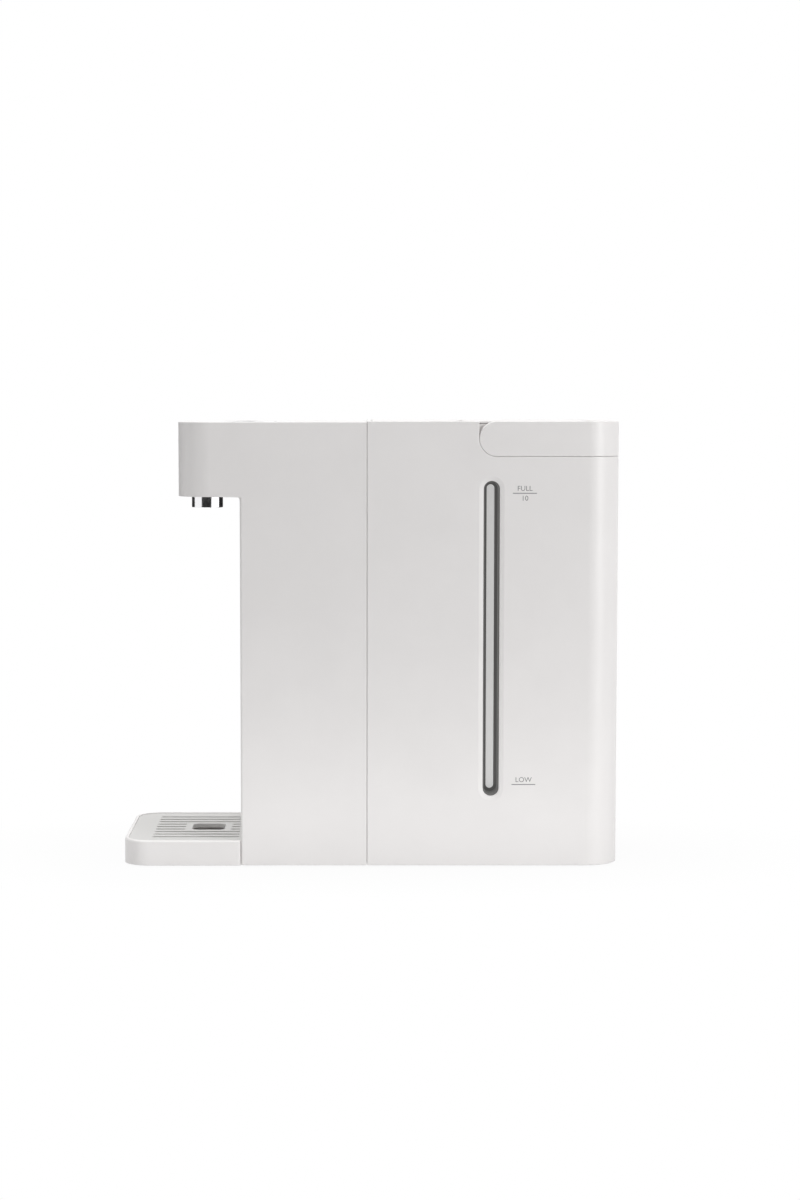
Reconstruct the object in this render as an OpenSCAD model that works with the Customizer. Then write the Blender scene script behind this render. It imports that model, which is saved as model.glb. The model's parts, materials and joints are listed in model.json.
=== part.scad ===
// Countertop dispenser of instant hot water: a slim main unit with an overhanging head,
// a lift-off water tank behind it and a pull-out drip tray in front.
// X runs from the front (-) to the back (+), Z is up, and the origin is the middle of the footprint.

/* [Overall] */
// Height from the table to the top of the tank
overall_h = 271; // [256:1:300]
// Width of the body across its sides
body_w = 110; // [104:1:130]
// Clearance under the shells, which the feet give
foot_h = 1; // [0.8:0.1:3]
// Wall of the moulded shells
shell_t = 2.5; // [2:0.1:3]
// Radius of the upright corners of the head and of the tank's back
corner_r = 20; // [15:1:26]
// Upright seam between the main unit and the tank
seam_gap = 0.7; // [0.5:0.1:1.2]
// Clearance between pieces that drop into each other
fit_gap = 0.3; // [0.2:0.05:0.4]
// Clearance around pins and shafts, on the radius
run_gap = 0.05; // [0.02:0.01:0.1]

/* [Lengths from the seam] */
// Reach of the drip tray in front of the seam
tray_reach = 149; // [140:1:165]
// Reach of the head in front of the seam
head_len = 115; // [111:1:128]
// Depth of the column in front of the seam
column_len = 77; // [76:1:86]
// Depth of the tank behind the seam
tank_len = 153; // [146:1:175]

/* [Head and nozzle] */
// Height of the head
head_h = 45; // [42:1:56]
// How far the head's top lies below the tank's
top_step = 0.5; // [0:0.1:1]
// Fillet between the head's underside and the column
throat_r = 2; // [1:0.5:5]
// Radius on the column's upright front edges
edge_r = 1.5; // [1:0.25:2.25]
// Nozzle axis in front of the seam
nozzle_reach = 99.6; // [96:0.1:101]
// Outer diameter of the bright nozzle sleeve
nozzle_d = 19.5; // [17:0.1:20.5]
// How far the nozzle stands below the head
nozzle_drop = 8.4; // [6:0.1:20]
// Wall of the nozzle sleeve
nozzle_t = 1.2; // [0.8:0.1:1.6]
// Bore of the soft outlet
outlet_d = 7; // [5:0.5:8]
// How far the soft outlet lies inside the sleeve's end
outlet_sink = 1; // [0.5:0.1:2]

/* [Control panel] */
// Length of the touch panel, front to back
panel_l = 58; // [44:1:70]
// Width of the touch panel
panel_w = 70; // [50:1:80]
// Corner radius of the touch panel
panel_r = 9; // [4:1:14]
// Thickness of the touch panel
panel_t = 1.6; // [1:0.1:2]
// Margin between the head's front and the touch panel
panel_margin = 10; // [8:1:16]
// Rim of the head's top that the touch panel lies on
panel_rim = 4; // [3:0.5:6]
// Height of the posts that hold the control board
board_post_h = 5; // [4:0.5:7]

/* [Base] */
// Thickness of the base plate
base_t = 3; // [2.8:0.1:4]
// Gap between the tank's skirt and the base tongue at each side
tongue_gap = 6.5; // [4:0.5:9]
// Distance from the base tongue's end to the tank's back
tongue_inset = 15; // [14:0.5:25]
// Wall of the base tongue
tongue_t = 2.5; // [2:0.1:3]
// Diameter of the rubber feet
foot_d = 14; // [10:1:18]
// Depth of the recess that holds a foot
foot_sink = 0.8; // [0.6:0.1:1.2]
// Inset of the feet from the base's side edges
foot_inset = 12; // [11:0.5:16]
// Diameter of the bush for the mains cord
gland_d = 11; // [9:0.5:13]
// Bore of that bush
gland_bore = 7.2; // [6:0.1:8]
// Height of the bush above the table
gland_z = 11; // [9:0.5:14]
// Sideways place of the bush
gland_y = 12; // [-14:1:14]

/* [Screws] */
// Diameter of the screws
screw_d = 3; // [2.5:0.1:3.5]
// Diameter of their heads
screw_head_d = 5.6; // [5:0.1:6.5]
// Height of their heads
screw_head_h = 1.5; // [1.2:0.1:1.8]
// Length of the screws below the head
screw_len = 12; // [8:1:14]
// Diameter of the moulded bosses
boss_d = 8; // [7:0.5:9]

/* [Tank] */
// Underside of the tank's floor above the table
tank_floor_h = 23.5; // [22:0.5:30]
// Clearance between the tank's floor and the base tongue
seat_gap = 0.3; // [0.1:0.1:0.5]
// Width of the arch in the tank's skirt for the cord
cord_arch_w = 14; // [13:0.5:20]

/* [Level window] */
// Window's middle behind the seam
window_back = 75; // [66:0.5:82]
// Width of the window
window_w = 9.7; // [8:0.1:12]
// Lower end of the window above the table
window_z0 = 43.7; // [40:0.1:60]
// Upper end of the window above the table
window_z1 = 235.2; // [200:0.1:238]
// Width of the slanted lip around the window
lip_w = 2.8; // [1:0.1:3]
// Depth of the slanted lip
lip_depth = 1.3; // [0.8:0.1:1.6]
// Depth of the dark channel behind the window
window_depth = 16.5; // [10:0.5:18]
// Wall of the dark channel
channel_t = 0.7; // [0.5:0.1:1]
// Width of the clear strip at the back of the channel
strip_w = 4.7; // [3:0.1:6]
// Thickness of the clear strip
strip_t = 2; // [1.5:0.1:3]

/* [Handle] */
// Height of the handle's arms
handle_h = 20.8; // [18:0.1:24]
// Gap between the handle and its recess
handle_gap = 0.4; // [0.3:0.1:0.8]
// Thickness of the handle's arms
arm_t = 10.4; // [9:0.1:12]
// Play between the handle's arms and the tank's neck
arm_play = 0.6; // [0.4:0.1:1]
// Depth of the grip at the back
grip_t = 16; // [14:0.5:20]
// Inner corner radius of the grip
grip_r = 10; // [8:0.5:14]
// Handle's pivot behind the seam
pivot_back = 78.1; // [76:0.1:82]
// Diameter of the pivot pins
pivot_d = 7; // [5:0.5:8]
// Depth of the pivot bores in the arms
pivot_bore = 7.2; // [5:0.1:8]
// Wall of the hollows under the handle
handle_wall = 2.2; // [1.8:0.1:3]
// Width of the finger notches of grip and lid
finger_w = 56; // [40:1:64]
// Depth of the finger notches
finger_depth = 6; // [4:0.5:7]
// Height of the finger notch under the grip
finger_h = 5; // [3:0.5:6]
// Ribs across the handle's hollows
handle_rib = 1.6; // [1.2:0.1:2]

/* [Lid and filling mouth] */
// Lid's hinge behind the seam
lid_back = 62; // [58:0.5:64]
// Radius of the lid's hinge barrel
barrel_r = 3; // [2.5:0.1:3.5]
// Thickness of the lid's plate
lid_t = 1.3; // [1.1:0.1:1.8]
// Diameter of the lid's hinge pin
lid_pin_d = 2.4; // [2:0.1:3]
// Wall of the neck around the filling mouth
neck_t = 2.5; // [2:0.1:3]
// Depth of the lid's plug below its plate
plug_h = 6; // [4:0.5:8]
// Wall of the lid's plug
plug_t = 1.8; // [1.4:0.1:2.4]
// Thickness of the sealing ring around the plug
gasket_t = 1.6; // [1:0.1:2]

/* [Outlet valve] */
// Valve's axis behind the seam
valve_back = 34; // [33:0.5:40]
// Outer diameter of the valve's spigot
spigot_d = 21.6; // [19:0.1:22]
// Wall of the valve's spigot
spigot_t = 2.3; // [1.8:0.1:2.6]
// Length of the spigot below the tank's floor
spigot_len = 11; // [10:0.1:12]
// Lift of the valve disc when the tank stands in place
valve_lift = 2.5; // [1.5:0.1:3]
// Diameter of the valve's stem
stem_d = 4; // [3:0.1:4.5]
// Diameter of the valve spring's wire
spring_wire = 0.9; // [0.7:0.1:1]
// Turns of the valve spring
spring_turns = 5; // [4:1:6]
// Diameter of the valve's nut and flange
valve_flange_d = 30; // [28:0.5:32]

/* [Hoses] */
// Inner diameter of the hoses
hose_bore = 6.9; // [6:0.1:7.5]
// Wall of the hoses
hose_t = 1.6; // [1.2:0.1:2]
// Bend radius of the hose from the tank to the pump
inlet_bend = 11; // [9:0.5:11.5]
// Bend radius of the hose to the outlet
outlet_bend = 13; // [10:0.5:15]
// Bore of the hose spigots
barb_bore = 4.4; // [3.5:0.1:5]

/* [Pump and heater] */
// Outer diameter of the pump's housing
pump_d = 42; // [38:0.5:44]
// Length of the pump's housing
pump_len = 12; // [10:0.5:14]
// Diameter of the pump's motor
motor_d = 32; // [28:0.5:34]
// Length of the pump's motor
motor_len = 30; // [24:0.5:31]
// Diameter of the motor's shaft
shaft_d = 3; // [2:0.1:4]
// Vanes of the impeller
vanes = 6; // [4:1:8]
// Diameter of the heater's tube
heater_d = 36; // [30:0.5:38]
// Length of the heater's tube
heater_len = 100; // [80:1:110]
// Wall of the heater's tube
heater_t = 1.2; // [0.8:0.1:1.6]
// Sideways place of the heater, and of the pump's outlet
heater_y = -13; // [-14:0.5:-12]

/* [Power board] */
// Gap between the power board's bracket and the shell's side
bracket_gap = 10.5; // [8:0.5:12]
// Width of the power board, front to back
power_w = 58; // [50:1:60]
// Height of the power board
power_h = 128; // [100:1:134]
// Thickness of the circuit boards
board_t = 1.6; // [1.2:0.1:2]

/* [Drip tray] */
// Height of the tray's rim above the table
tray_top = 16.2; // [15:0.1:22]
// Clearance under the tray, which its nubs give
tray_lift = 0.8; // [0.5:0.1:1.2]
// Radius of the tray's front corners
tray_r = 16; // [10:0.5:22]
// Radius of the tray's rear corners, inside
tray_back_r = 3; // [2:0.5:6]
// Wall of the tray
tray_t = 2.2; // [1.8:0.1:2.6]
// Width of the ledge that carries the grille
ledge_w = 1.8; // [1.4:0.1:2.4]
// Gap between the tray and the column
tray_gap = 0.2; // [0.2:0.1:0.8]
// Height of the tray's hooks
hook_t = 2; // [1.6:0.1:2.4]
// Width of the tray's hooks
hook_w = 16; // [12:1:18]
// How far the hooks reach into the column
hook_len = 8; // [5:0.5:9]
// Sideways place of the hooks
hook_y = 30; // [28:0.5:34]

/* [Grille] */
// Thickness of the grille
grille_t = 2.6; // [2:0.1:3]
// How far the grille lies below the tray's rim
grille_drop = 0.4; // [0.2:0.1:1.4]
// Number of slots
slots = 9; // [7:2:11]
// Distance between the slots
slot_pitch = 9.4; // [8.6:0.1:9.6]
// Width of the slots
slot_w = 3.4; // [2:0.1:4]
// Distance from the tray's front to the slots
slot_front = 16.4; // [15:0.1:22]
// Distance from the slots to the tray's back
slot_back = 1.4; // [1:0.1:4]
// Length of the square hole under the nozzle
hole_l = 20.4; // [15:0.1:22]
// Width of the square hole
hole_w = 23.6; // [19:0.1:24]
// Corner radius of the square hole
hole_r = 4.5; // [2:0.5:6]
// Bare land between the hole and the broken slots
hole_land = 4; // [3:0.1:6]

/* [Hidden] */
$fn = 64;
// A cut runs this far past the face it opens
over = 1;
half_w = body_w / 2;
in_w = half_w - shell_t;
seam_x = (tray_reach - tank_len) / 2;
front_x = seam_x - seam_gap / 2;
tank_x = seam_x + seam_gap / 2;
column_x = seam_x - column_len;
head_x = seam_x - head_len;
tray_x = seam_x - tray_reach;
rear_x = seam_x + tank_len;
nozzle_x = seam_x - nozzle_reach;
column_in_x = column_x + shell_t;
// Levels
base_top = foot_h + base_t;
head_top = overall_h - top_step;
head_z = head_top - head_h;
head_floor = head_z + shell_t;
head_roof = head_top - shell_t;
// Back panel
back_t = 2.5;
back_x = front_x - back_t;
back_screw_z = [for (share = [0.16, 0.5, 0.93]) base_top + (head_z - base_top) * share];
back_screw_y = in_w - boss_d / 2 + 0.5;
boss_len = screw_len + 2;
pilot_r = screw_d / 2 - 0.25;
// Touch panel and control board
panel_x = head_x + panel_margin + panel_l / 2;
board_z = head_roof - board_post_h;
board_lap = 4;
board_l = panel_l - 2 * panel_rim + 2 * board_lap;
board_w = panel_w - 2 * panel_rim + 2 * board_lap;
board_post_r = 3;
post_x = board_l / 2 - board_post_r;
post_y = board_w / 2 - board_post_r;
pad_r = 4;
// Base tongue
tongue_y = in_w - tongue_gap;
tongue_x = rear_x - tongue_inset;
tongue_top = tank_floor_h - seat_gap;
tongue_r = 12;
cover_plate_t = 1.8;
post_r = foot_d / 2 + 3;
foot_y = tongue_y - foot_inset;
foot_front_x = column_in_x + foot_inset + 1;
foot_back_x = tongue_x - foot_inset;
base_boss_x = column_in_x + boss_d / 2 - 0.5;
base_boss_y = in_w - boss_d / 2 + 0.5;
// Tank
tank_in_x = tank_x + shell_t;
tank_in_z = tank_floor_h + shell_t;
pivot_x = seam_x + pivot_back;
handle_r = handle_h / 2;
pivot_z = overall_h - handle_r;
recess_r = handle_r + handle_gap;
recess_z = pivot_z - recess_r;
recess_x = pivot_x - recess_r;
arm_y = half_w - arm_t;
neck_y = arm_y - arm_play;
grip_x = rear_x - grip_t;
neck_x = grip_x - 2;
deck_t = 2.5;
deck_z = recess_z - deck_t;
top_y = in_w - fit_gap;
top_x = tank_in_x + fit_gap;
// Lid
lid_x = seam_x + lid_back;
lid_z = overall_h - barrel_r;
lid_seat_gap = 0.2;
neck_top = overall_h - lid_t - lid_seat_gap;
block_x = lid_x - barrel_r - 2;
mouth_y = neck_y - neck_t;
mouth_x0 = lid_x + barrel_r + 3;
mouth_x1 = neck_x - neck_t;
hinge_floor = lid_z - barrel_r - 0.5;
lug_y = mouth_y / 2;
lug_w = 8;
lug_r = lid_pin_d / 2 + 1.2;
pin_half = lug_y + lug_w / 2 + 6;
plug_x0 = mouth_x0 + 4 * fit_gap + gasket_t + 1;
plug_x1 = mouth_x1 - 4 * fit_gap - gasket_t;
plug_y = mouth_y - 4 * fit_gap - gasket_t;
plug_r = grip_r - neck_t - 4 * fit_gap - gasket_t;
gasket_h = plug_h / 2;
// Window, on the side of the tank that faces -Y
window_x = seam_x + window_back;
window_z = (window_z0 + window_z1) / 2;
window_len = window_z1 - window_z0;
window_front_y = -half_w + lip_depth;
window_back_y = window_front_y + window_depth;
channel_r = window_w / 2 - channel_t;
rim_r = window_w / 2 + 3.5;
rim_t = 2;
// Valve and its socket
valve_x = seam_x + valve_back;
spigot_r = spigot_d / 2;
spigot_z = tank_floor_h - spigot_len;
seat_t = 2;
seat_z = spigot_z + seat_t;
seat_r = spigot_r - spigot_t - 3;
washer_t = 1;
flange_t = 2.5;
flange_z = tank_in_z + washer_t;
guide_z = flange_z + flange_t;
guide_t = 3;
nut_t = 4;
disc_r = spigot_r - spigot_t - 1.1;
disc_t = 2;
disc_seal_t = 1;
disc_z = seat_z + valve_lift + disc_seal_t;
stem_z = spigot_z - 1.5;
spring_r = stem_d / 2 + 2.2;
spring_z0 = disc_z + disc_t;
spring_z1 = guide_z;
socket_r = spigot_r + 0.8;
socket_t = 2.4;
cup_r = valve_flange_d / 2 + 1.5;
cup_t = 2.1;
cup_z = tank_floor_h - nut_t - 2.5;
socket_z = cup_z - socket_t - (cup_z - spigot_z) - 4.5;
socket_floor = 2;
socket_lip_r = cup_r + cup_t + 3;
ring_r = 0.9;
ring_z = spigot_z + 1.8;
probe_gap = 0.3;
// Hoses
hose_r = hose_bore / 2 + hose_t;
barb_r = hose_bore / 2 - run_gap;
barb_len = 8;
barb_z = socket_z + socket_floor + barb_r + 0.8;
socket_barb_x = valve_x - socket_lip_r - barb_len;
inlet_x = socket_barb_x - 1.5;
pump_barb_x = inlet_x - 2 * inlet_bend;
hose_hole_top = barb_z + inlet_bend + 3;
// Pump, on an axis along X
pump_z = barb_z + 2 * inlet_bend;
pump_x = pump_barb_x - barb_len + 1;
cover_t = 3;
housing_x = pump_x - cover_t;
motor_x = housing_x - pump_len;
pump_wall = 3;
volute_r = pump_d / 2 - 3.5;
impeller_r = volute_r - 2;
disc_w = 1.6;
vane_w = 4.5;
motor_wall = 1.5;
saddle_slot = 3;
pump_out_x = housing_x - pump_len / 2 + pump_wall / 2;
pump_spout_len = 10;
pump_out_z = pump_z + pump_d / 2 + pump_spout_len;
// Heater, above the pump's outlet
heater_r = heater_d / 2;
cap_r = heater_r + 2.5;
cap_h = 12;
cap_lap = 3;
cap_floor = cap_h - cap_lap;
heater_x = pump_out_x;
heater_barb_z = pump_out_z + 2;
lower_cap_z = heater_barb_z + barb_len + 3;
heater_z = lower_cap_z + cap_floor;
upper_cap_z = heater_z + heater_len - cap_lap;
heater_top = upper_cap_z + cap_h;
clamp_h = 8;
clamp_t = 3;
clamp_inset = 14;
clamp_z = [heater_z + clamp_inset, heater_z + heater_len - clamp_inset - clamp_h];
clamp_foot = 28;
cutout_r = 7.5;
cutout_t = 8;
cutout_pitch = 28;
tab_t = 0.8;
tab_w = 5;
sensor_h = 9;
sensor_r = 4;
sensor_x = heater_x + heater_r * 0.62;
// Outlet chamber in the head
chamber_r = 19;
chamber_x = head_x + shell_t + chamber_r + 3;
chamber_h = 22;
nozzle_r = nozzle_d / 2;
nozzle_flange_t = 1.5;
nozzle_z = head_z - nozzle_drop;
chamber_z = head_floor + nozzle_flange_t + 2.5;
spout_r = outlet_d / 2 + 1.4;
spout_len = 8;
chamber_wall = 2;
run_z = chamber_z + chamber_h / 2;
chamber_barb_x = chamber_x + sqrt(pow(chamber_r, 2) - pow(abs(heater_y) - hose_r, 2)) + barb_len;
// Power board, upright beside the heater
bracket_y = in_w - bracket_gap;
bracket_t = 2;
power_y = bracket_y - bracket_t - 4;
power_x = back_x - 8;
power_z = (base_top + head_z - power_h) / 2;
power_post_r = 3;
power_post_inset = 4;
power_post_x = [power_x - power_post_inset, power_x - power_w + power_post_inset];
power_post_z = [power_z + power_post_inset, power_z + power_h - power_post_inset];
parts_h = 20;
bracket_rim = 3;
bracket_foot = 8;
board_screw_bite = 5;
// Drip tray and grille
tray_back = column_x - tray_gap;
tray_floor_t = 2;
grille_top = tray_top - grille_drop;
ledge_z = grille_top - grille_t;
hook_z = base_top + 0.8;
nub_r = 4;
hole_x = nozzle_x;
slot_x0 = tray_x + slot_front;
slot_x1 = tray_back - slot_back;

// Box between two corners
module block(x0, x1, y0, y1, z0, z1) {
  translate([x0, y0, z0])
    cube([x1 - x0, y1 - y0, z1 - z0]);
}

// Round bars along the three axes
module rod_x(x0, x1, y, z, r) {
  translate([x0, y, z])
    rotate([0, 90, 0])
      cylinder(r = r, h = x1 - x0);
}

module rod_y(y0, y1, x, z, r) {
  translate([x, y0, z])
    rotate([-90, 0, 0])
      cylinder(r = r, h = y1 - y0);
}

module rod_z(x, y, z0, z1, r) {
  translate([x, y, z0])
    cylinder(r = r, h = z1 - z0);
}

// One end of a plan outline, with both its corners rounded
module round_end(x, half, r, side) {
  if (r > 0) {
    translate([side < 0 ? x - r : x, -(half - r)])
      square([r, 2 * (half - r)]);
    for (y = [-1, 1])
      translate([x, y * (half - r)])
        circle(r);
  }
}

// Plan outline from x0 to x1, with corner radius r0 at the front and r1 at the back
module plan(x0, x1, half, r0, r1) {
  translate([x0 + r0, -half])
    square([x1 - x0 - r0 - r1, 2 * half]);
  round_end(x0 + r0, half, r0, -1);
  round_end(x1 - r1, half, r1, 1);
}

module prism(z0, z1) {
  translate([0, 0, z0])
    linear_extrude(z1 - z0)
      children();
}

module head_plan(inset, back) {
  plan(head_x + inset, back, half_w - inset, corner_r - inset, 0);
}

module tank_plan(inset, front) {
  plan(front, rear_x - inset, half_w - inset, 0, corner_r - inset);
}

module tray_plan(inset, back) {
  plan(tray_x + inset, back, half_w - inset, tray_r - inset, tray_back_r);
}

// Outline with round ends, lengthwise along y
module stadium(r, len) {
  translate([-r, -(len / 2 - r)])
    square([2 * r, len - 2 * r]);
  for (y = [-1, 1])
    translate([0, y * (len / 2 - r)])
      circle(r);
}

// The window's outline with another radius, between two depths in the tank's side
module window_solid(r, y_out, y_in) {
  translate([window_x, y_in, window_z])
    rotate([90, 0, 0])
      linear_extrude(y_in - y_out)
        stadium(r, window_len - window_w + 2 * r);
}

// Cut for the slanted lip: cones at the round ends and a wedge between them
module window_lip() {
  r = window_w / 2;
  straight = window_len - window_w;
  translate([window_x, -half_w, window_z])
    rotate([-90, 0, 0]) {
      for (y = [-1, 1])
        translate([0, y * straight / 2, 0])
          cylinder(r1 = r + lip_w, r2 = r, h = lip_depth);
      translate([0, straight / 2, 0])
        rotate([90, 0, 0])
          linear_extrude(straight)
            polygon([[-r - lip_w, 0], [r + lip_w, 0], [r, lip_depth], [-r, lip_depth]]);
    }
}

// Recess for the handle, seen from the side and cut right across the tank
module handle_recess() {
  rod_y(-half_w - over, half_w + over, pivot_x, pivot_z, recess_r);
  block(recess_x, pivot_x, -half_w - over, half_w + over, pivot_z, overall_h + over);
  block(pivot_x, rear_x + over, -half_w - over, half_w + over, recess_z, overall_h + over);
}

// Quarter bend of a hose in the XZ plane, from an angle to a quarter turn on
module hose_bend(x, z, bend, from, r, bore) {
  translate([x, 0, z])
    rotate([90, 0, 0])
      rotate([0, 0, from])
        rotate_extrude(angle = 90)
          translate([bend, 0])
            difference() {
              circle(r);
              circle(bore);
            }
}

// Main unit

module front_shell() {
  color("white") {
    difference() {
      union() {
        prism(foot_h, head_floor)
          plan(column_x, front_x, half_w, edge_r, 0);
        prism(head_z, head_top)
          head_plan(0, front_x);
        throat();
      }
      prism(head_floor, head_roof)
        head_plan(shell_t, front_x + over);
      prism(foot_h - over, head_floor + over)
        translate([column_in_x, -in_w])
          square([front_x + over - column_in_x, 2 * in_w]);
      rod_z(nozzle_x, 0, head_z - over, head_floor + over, nozzle_r + fit_gap / 2);
      prism(head_top - panel_t, head_top + over)
        translate([panel_x, 0])
          rounded(panel_l + fit_gap, panel_w + fit_gap, panel_r);
      prism(head_roof - over, head_top)
        translate([panel_x, 0])
          rounded(panel_l - 2 * panel_rim, panel_w - 2 * panel_rim, panel_r - panel_rim / 2);
      for (s = [-1, 1])
        block(column_x - over, column_in_x + over, s * hook_y - hook_w / 2 - fit_gap,
          s * hook_y + hook_w / 2 + fit_gap, hook_z - fit_gap, hook_z + hook_t + fit_gap);
    }
    for (s = [-1, 1]) {
      difference() {
        rod_z(base_boss_x, s * base_boss_y, base_top + fit_gap, base_top + boss_len + 4, boss_d / 2);
        rod_z(base_boss_x, s * base_boss_y, base_top, base_top + boss_len, pilot_r);
      }
      for (z = back_screw_z)
        difference() {
          rod_x(back_x - boss_len - 4, back_x, s * back_screw_y, z, boss_d / 2);
          rod_x(back_x - boss_len, back_x + over, s * back_screw_y, z, pilot_r);
        }
    }
    for (x = [-1, 1], y = [-1, 1])
      difference() {
        rod_z(panel_x + x * post_x, y * post_y, board_z, head_roof + shell_t / 4, board_post_r);
        rod_z(panel_x + x * post_x, y * post_y, board_z - over, head_roof, 1);
      }
  }
}

// Concave fillet where the head's underside meets the column
module throat() {
  y = half_w - edge_r;
  difference() {
    block(column_x - throat_r, column_x + over, -y, y, head_z - throat_r, head_z + over);
    rod_y(-y - over, y + over, column_x - throat_r, head_z - throat_r, throat_r);
  }
}

module rounded(l, w, r) {
  square([l - 2 * r, w], center = true);
  square([l, w - 2 * r], center = true);
  for (x = [-1, 1], y = [-1, 1])
    translate([x * (l / 2 - r), y * (w / 2 - r)])
      circle(r);
}

module back_panel() {
  color("gainsboro")
    difference() {
      block(back_x, front_x, -in_w + fit_gap, in_w - fit_gap, base_top + fit_gap, head_roof - fit_gap);
      block(back_x - over, front_x + over, -hose_r - 2, hose_r + 2, base_top, hose_hole_top);
      for (s = [-1, 1], z = back_screw_z) {
        rod_x(back_x - over, front_x + over, s * back_screw_y, z, screw_d / 2 + fit_gap / 2);
        rod_x(front_x - screw_head_h - fit_gap, front_x + over, s * back_screw_y, z,
          screw_head_d / 2 + fit_gap / 2);
      }
    }
}

module panel_screws() {
  color("silver")
    for (s = [-1, 1], z = back_screw_z)
      translate([front_x - fit_gap, s * back_screw_y, z])
        rotate([0, -90, 0])
          cross_screw();
}

// Screw with a cross slot, its head down and its shank as thick as the thread's core
module cross_screw() {
  difference() {
    union() {
      cylinder(d = screw_head_d, h = screw_head_h);
      cylinder(r = pilot_r - run_gap, h = screw_head_h + screw_len);
    }
    for (turn = [0, 90])
      rotate([0, 0, turn])
        translate([0, 0, screw_head_h / 4 - over / 2])
          cube([screw_head_d * 0.6, 0.6, over + screw_head_h / 2], center = true);
  }
}

module base() {
  color("whitesmoke")
    difference() {
      union() {
        prism(foot_h, base_top)
          plan(column_in_x + fit_gap, tank_in_x, in_w - fit_gap, 0, 0);
        prism(foot_h, tongue_top)
          plan(front_x + fit_gap, tongue_x, tongue_y, 0, tongue_r);
      }
      // The tank's skirt stands beside the tongue, so the plate is only as wide as the tongue there
      for (s = [-1, 1])
        block(front_x, tank_in_x + over, s > 0 ? tongue_y : -half_w, s > 0 ? half_w : -tongue_y,
          foot_h - over, base_top + over);
      difference() {
        prism(foot_h - over, tongue_top - tongue_t)
          plan(front_x + fit_gap + tongue_t, tongue_x - tongue_t, tongue_y - tongue_t, 0,
            tongue_r - tongue_t);
        tongue_posts();
        tongue_ribs();
        block(front_x - over, tank_in_x + tongue_t, -half_w, half_w, foot_h - over, base_top);
      }
      block(front_x - over, front_x + fit_gap + tongue_t + over, -hose_r - 2, hose_r + 2, base_top,
        tongue_top - tongue_t);
      rod_z(valve_x, 0, tongue_top - tongue_t - over, tongue_top + over, cup_r + cup_t + fit_gap);
      for (x = [foot_front_x, foot_back_x], s = [-1, 1])
        rod_z(x, s * foot_y, foot_h - over, foot_h + foot_sink, foot_d / 2 + fit_gap);
      for (s = [-1, 1]) {
        rod_z(base_boss_x, s * base_boss_y, foot_h - over, base_top + over, screw_d / 2 + fit_gap / 2);
        rod_z(base_boss_x, s * base_boss_y, foot_h - over, foot_h + screw_head_h + fit_gap,
          screw_head_d / 2 + fit_gap / 2);
      }
      rod_x(tongue_x - tongue_t - over, tongue_x + over, gland_y, gland_z, gland_d / 2);
    }
}

// Posts over the rear feet
module tongue_posts() {
  for (s = [-1, 1])
    rod_z(foot_back_x, s * foot_y, foot_h - over, tongue_top, post_r);
}

// Cross ribs under the tongue's top
module tongue_ribs() {
  start = valve_x + socket_lip_r;
  span = foot_back_x - post_r - start;
  for (x = [start + span * 0.3, start + span * 0.7])
    block(x, x + tongue_t, -tongue_y, tongue_y, foot_h + cover_plate_t + fit_gap / 2, tongue_top);
}

// Flat cover that closes the underside of the tongue
module base_cover() {
  color("whitesmoke")
    difference() {
      prism(foot_h, foot_h + cover_plate_t)
        plan(tank_in_x + tongue_t + fit_gap, tongue_x - tongue_t - fit_gap, tongue_y - tongue_t - fit_gap, 0,
          tongue_r - tongue_t - fit_gap);
      for (s = [-1, 1])
        rod_z(foot_back_x, s * foot_y, foot_h - over, foot_h + cover_plate_t + over, post_r + fit_gap);
    }
}

module feet() {
  color("dimgray")
    for (x = [foot_front_x, foot_back_x], s = [-1, 1])
      rod_z(x, s * foot_y, 0, foot_h + foot_sink, foot_d / 2);
}

module base_screws() {
  color("silver")
    for (s = [-1, 1])
      translate([base_boss_x, s * base_boss_y, foot_h + fit_gap])
        cross_screw();
}

module control_panel() {
  color("white")
    prism(head_top - panel_t, head_top)
      translate([panel_x, 0])
        rounded(panel_l, panel_w, panel_r);
}

module control_board() {
  color("darkgreen") {
    difference() {
      prism(board_z - board_t, board_z)
        translate([panel_x, 0])
          rounded(board_l, board_w, 2);
      for (x = [-1, 1], y = [-1, 1])
        rod_z(panel_x + x * post_x, y * post_y, board_z - board_t - over, board_z + over, 1);
    }
    // Touch contacts that reach up to the panel
    for (x = [-1, 0, 1], y = [-1, 1])
      rod_z(panel_x + x * panel_l / 4, y * panel_w / 5, board_z - board_t / 2, head_top - panel_t, pad_r);
  }
}

module nozzle() {
  color("silver")
    difference() {
      union() {
        rod_z(nozzle_x, 0, nozzle_z, head_floor, nozzle_r);
        rod_z(nozzle_x, 0, head_floor, head_floor + nozzle_flange_t, nozzle_r + 2);
      }
      rod_z(nozzle_x, 0, nozzle_z - over, head_floor + nozzle_flange_t + over, nozzle_r - nozzle_t);
    }
}

module nozzle_insert() {
  color("dimgray")
    difference() {
      rod_z(nozzle_x, 0, nozzle_z + outlet_sink, head_floor + nozzle_flange_t,
        nozzle_r - nozzle_t - run_gap);
      rod_z(nozzle_x, 0, nozzle_z, head_floor + nozzle_flange_t + over, outlet_d / 2);
      rod_z(nozzle_x, 0, chamber_z - spout_len - fit_gap, head_floor + nozzle_flange_t + over,
        spout_r + run_gap);
    }
}

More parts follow.
